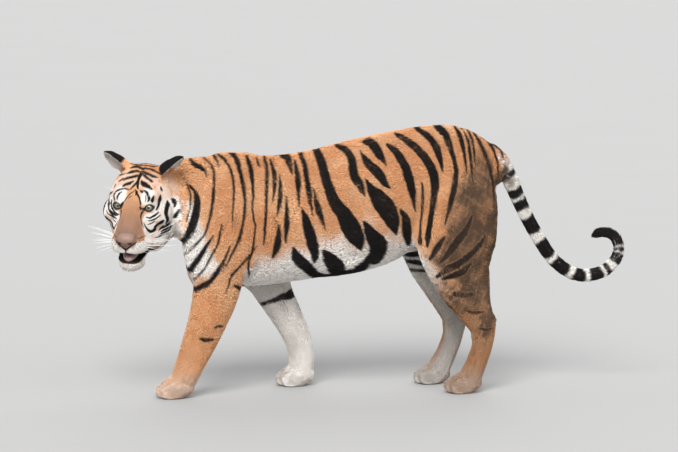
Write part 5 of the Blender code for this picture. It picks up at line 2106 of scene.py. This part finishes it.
class SpineTree(Sketch):
    """Geometry Nodes that set a tapered, bent spine on each point, turned by "aim", as long as "long"."""

    def __init__(self, name: str, finish: bpy.types.Material) -> None:
        """Args: name of the tree, and the spines' material."""
        super().__init__(bpy.data.node_groups.new(name, "GeometryNodeTree"))
        face = self.tree.interface
        face.new_socket("Geometry", in_out="INPUT", socket_type="NodeSocketGeometry")
        sizes = {"Thickness": "Float", "Bend": "Float", "Tip": "Float", "Steps": "Int", "Sides": "Int"}
        self.keys = {}
        for label, kind in sizes.items():
            socket = face.new_socket(label, in_out="INPUT", socket_type=f"NodeSocket{kind}")
            self.keys[label] = socket.identifier
        face.new_socket("Geometry", in_out="OUTPUT", socket_type="NodeSocketGeometry")
        self._draw(finish)

    def _draw(self, finish: bpy.types.Material) -> None:
        """The tree: a line of unit length, bent and tapered, on each point."""
        given = {socket.name: Value(self, socket) for socket in self.tree.nodes.new("NodeGroupInput").outputs}
        line = self.node("GeometryNodeCurvePrimitiveLine", {}, {"Start": (0, 0, 0), "End": (0, 0, 1)})
        fine = self.node("GeometryNodeResampleCurve", {}, {"Curve": line, "Count": given["Steps"]})
        part = self.node("GeometryNodeSplineParameter", output="Factor")
        offset = self.node("ShaderNodeCombineXYZ", {}, {"X": part * part * given["Bend"]})
        curved = self.node("GeometryNodeSetPosition", {}, {"Geometry": fine, "Offset": offset})
        deep = {"Geometry": curved, "Name": "deep", "Value": 1.0 - part}
        marked = self.node("GeometryNodeStoreNamedAttribute", {"data_type": "FLOAT", "domain": "POINT"}, deep)
        taper = self.node("ShaderNodeMapRange", {}, {"Value": part, "To Min": 1.0, "To Max": given["Tip"]})
        sizes = {"Radius": given["Thickness"], "Resolution": given["Sides"]}
        profile = {"Profile Curve": self.node("GeometryNodeCurvePrimitiveCircle", {}, sizes), "Scale": taper}
        sized = self.node("GeometryNodeSetCurveRadius", {}, {"Curve": marked, "Radius": taper})
        tube = self.node("GeometryNodeCurveToMesh", {}, {"Curve": sized, **profile, "Fill Caps": True})
        aim = self.node("GeometryNodeInputNamedAttribute", {"data_type": "FLOAT_VECTOR"}, {"Name": "aim"})
        size = self.node("GeometryNodeInputNamedAttribute", {"data_type": "FLOAT"}, {"Name": "long"})
        turned = self.node("FunctionNodeAlignRotationToVector", {"axis": "Z"}, {"Vector": aim})
        places = {"Points": given["Geometry"], "Instance": tube, "Rotation": turned, "Scale": size}
        spread = self.node("GeometryNodeInstanceOnPoints", {}, places)
        real = self.node("GeometryNodeRealizeInstances", {}, {"Geometry": spread})
        dressed = self.node("GeometryNodeSetMaterial", {}, {"Geometry": real, "Material": finish})
        self.link(self.tree.nodes.new("NodeGroupOutput").inputs["Geometry"], dressed)

    def grow(self, name: str, roots: Array, aims: Array, lengths: Array, **inputs: float) -> bpy.types.Object:
        """Grows the spines.

        Args:
            name: The piece's name.
            roots: Where each spine grows.
            aims: The way each points.
            lengths: How long each is.
            inputs: The tree's named inputs; thickness and bend are shares of the length.

        Returns:
            The spines as one plain mesh.
        """
        mesh = bpy.data.meshes.new(name)
        mesh.from_pydata([tuple(p) for p in roots], [], [])
        put(mesh, "long", lengths)
        put(mesh, "aim", unit(np.array(aims)))
        thing = add_object(name, mesh)
        grown = thing.modifiers.new("spines", "NODES")
        grown.node_group = self.tree
        for label, value in inputs.items():
            grown[self.keys[label]] = value
        applied(thing)
        shade_smooth(thing.data)
        return thing


@dataclass(frozen=True)
class Whiskers:
    """Long pale whiskers in rows on the pads, and a few above the eyes."""

    longest: float = 0.17

    def build(self, finish: bpy.types.Material) -> list[bpy.types.Object]:
        """Builds both sides' whiskers.

        Args:
            finish: Their material.

        Returns:
            The two pieces.
        """
        rng = np.random.default_rng(SEED + 21)
        tree = SpineTree("whisker_maker", finish)
        made = []
        for side in Side:
            roots, aims, lengths = [*whisker_roots(side.way)], [], []
            for number in range(len(roots)):
                row, back = divmod(number, 5)
                ahead = -0.10 - 0.17 * back + rng.normal(0, 0.05)
                aims.append((ahead, side.way, -0.04 - 0.15 * row + 0.03 * back + rng.normal(0, 0.05)))
                lengths.append(self.longest * (0.42 + 0.12 * back) * rng.uniform(0.85, 1.05))
            for k in range(4):
                roots.append(side.place((0.084 - 0.004 * k, 0.050 + 0.005 * k, 0.060)))
                aims.append(side.place((0.25, 0.45 + 0.1 * k, 0.85)))
                lengths.append(rng.uniform(0.045, 0.070))
            name, turned = f"whiskers_{side.name.lower()}", np.array(aims) @ HEAD.turn.T
            sizes = {"Thickness": 0.0075, "Bend": -0.10, "Tip": 0.15, "Steps": 12, "Sides": 5}
            made.append(dress(tree.grow(name, HEAD.out(roots), turned, np.array(lengths), **sizes), finish))
        return made


@dataclass(frozen=True)
class Claws:
    """The tips of the drawn-in claws, one ahead of each toe."""

    long: float = 0.013
    up: float = 0.020
    shares: Row = (-0.72, -0.26, 0.26, 0.72)

    def build(self, finish: bpy.types.Material) -> bpy.types.Object:
        """Builds the claws of all four feet.

        Args:
            finish: Their material.

        Returns:
            The piece.
        """
        tree = SpineTree("claw_maker", finish)
        roots, aims = [], []
        for node in FEET:
            low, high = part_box(node)
            middle, half = (low.y + high.y) / 2, (high.y - low.y) / 2
            for share in self.shares:
                behind = 0.016 if abs(share) > 0.5 else 0.002
                roots.append((low.x + 0.0105 + behind, middle + share * half, self.up))
                aims.append((-0.80, 0.10 * share, -0.60))
        lengths = np.full(len(roots), self.long)
        sizes = {"Thickness": 0.16, "Bend": -0.25, "Tip": 0.06, "Steps": 8, "Sides": 8}
        thing = tree.grow("claws", np.array(roots), np.array(aims), lengths, **sizes)
        return dress(thing, finish)


# ---- studio


@dataclass(frozen=True)
class Studio:
    """A plain pale floor, soft light from above, and the camera beside the tiger's left flank."""

    azimuth: float = -6.0
    elevation: float = 7.0
    target: Row = (-0.101, 0.0517, 0.612)
    distance: float = 14.0
    lens: float = 200.9
    floor_tone: Colour = (0.33, 0.327, 0.318)

    def build(self) -> None:
        """Builds the floor, the lights and the camera."""
        self._floor()
        self._lights()
        self._camera()

    def _floor(self) -> None:
        """A floor wide enough to fill the view."""
        bm = bmesh.new()
        made = [[bm.verts.new((x, y, 0.0)) for x in (-40.0, 40.0)] for y in (-40.0, 40.0)]
        for near, far in zip(made, made[1:]):
            bm.faces.new((near[0], near[1], far[1], far[0]))
        thing = plain_object("floor", bm)
        shade_smooth(thing.data)
        sketch = MaterialSketch("floor", "none")
        clouds = sketch.noise(1.3, 3.0, 0.5)
        tone = sketch.blend(clouds, self.floor_tone, tuple(0.97 * c for c in self.floor_tone))
        thing.data.materials.append(sketch.finished(tone, sketch.noise(160.0, 2.0), 0.0004, Roughness=0.85))

    def _lights(self) -> None:
        """Wide, soft, even light from above and from the sides, and a pale sky."""
        lamps = (
            ("key", (-0.35, -1.10, 1.05), 34.0, 4.3),
            ("fill", (0.50, -1.00, 0.40), 80.0, 1.1),
            ("back", (0.30, 0.90, 0.80), 60.0, 1.1),
        )
        for name, place, wide, power in lamps:
            light = bpy.data.lights.new(name, "SUN")
            light.angle = math.radians(wide)
            light.energy = power
            lamp = add_object(name, light)
            lamp.location = 4.0 * Vector(place)
            lamp.rotation_euler = (-Vector(place)).to_track_quat("-Z", "Y").to_euler()
        world = bpy.data.worlds.new("sky")
        world.use_nodes = True
        sky = world.node_tree.nodes["Background"].inputs
        sky["Color"].default_value = (0.93, 0.95, 1.0, 1.0)
        sky["Strength"].default_value = 0.72
        bpy.context.scene.world = world
        bpy.context.scene.view_settings.view_transform = "Standard"

    def _camera(self) -> None:
        """The camera, far off with a long lens."""
        turn, rise = math.radians(self.azimuth), math.radians(self.elevation)
        back = Vector((math.sin(turn) * math.cos(rise), -math.cos(turn) * math.cos(rise), math.sin(rise)))
        data = bpy.data.cameras.new("camera")
        data.lens = self.lens
        data.clip_start, data.clip_end = 0.1, 100.0
        camera = add_object("camera", data)
        camera.location = Vector(self.target) + back * self.distance
        camera.rotation_euler = (-back).to_track_quat("-Z", "Y").to_euler()
        bpy.context.scene.camera = camera


# ---- the tiger


def write_sizes() -> None:
    """Brings the view layer up to date."""
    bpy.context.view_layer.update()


def main() -> None:
    """Builds the tiger piece by piece, then the studio round it."""
    logging.basicConfig(level=logging.INFO, format="%(message)s")
    start = time.time()

    def report(piece: str) -> None:
        """Says that a piece is built."""
        log.info("%s, %.1f s", piece, time.time() - start)

    Studio().build()
    skin_finish = CoatFinish().draw("coat_skin", on_tufts=False)
    tuft_finish = CoatFinish().draw("coat_tufts", on_tufts=True)
    skin = TigerSkin()
    skin.form()
    markings = Markings()
    NOSE.build(skin, NoseFinish().draw())
    report("nose")
    Coat(skin, markings).build(tuft_finish)
    report("coat")
    skin.piece(markings, skin_finish)
    report("skin")
    eye_finish = EyeFinish().draw()
    for side in Side:
        Eyeball(side).build(eye_finish)
    report("eyes")
    # The second colour of the tongue and of the throat is painted shade deep in the mouth.
    Tongue().build(MouthFinish("tongue", (0.23, 0.14, 0.127), (0.08, 0.04, 0.04)).draw(), "tongue")
    report("tongue")
    Throat().build(MouthFinish("throat", (0.22, 0.08, 0.08), (0.03, 0.012, 0.012)).draw())
    report("throat")
    Whiskers().build(HornFinish("whisker", (0.80, 0.78, 0.74), (0.88, 0.87, 0.84)).draw())
    report("whiskers")
    Claws().build(HornFinish("claw", (0.20, 0.15, 0.12), (0.42, 0.36, 0.30)).draw())
    report("claws")
    write_sizes()


if __name__ == "__main__":
    main()
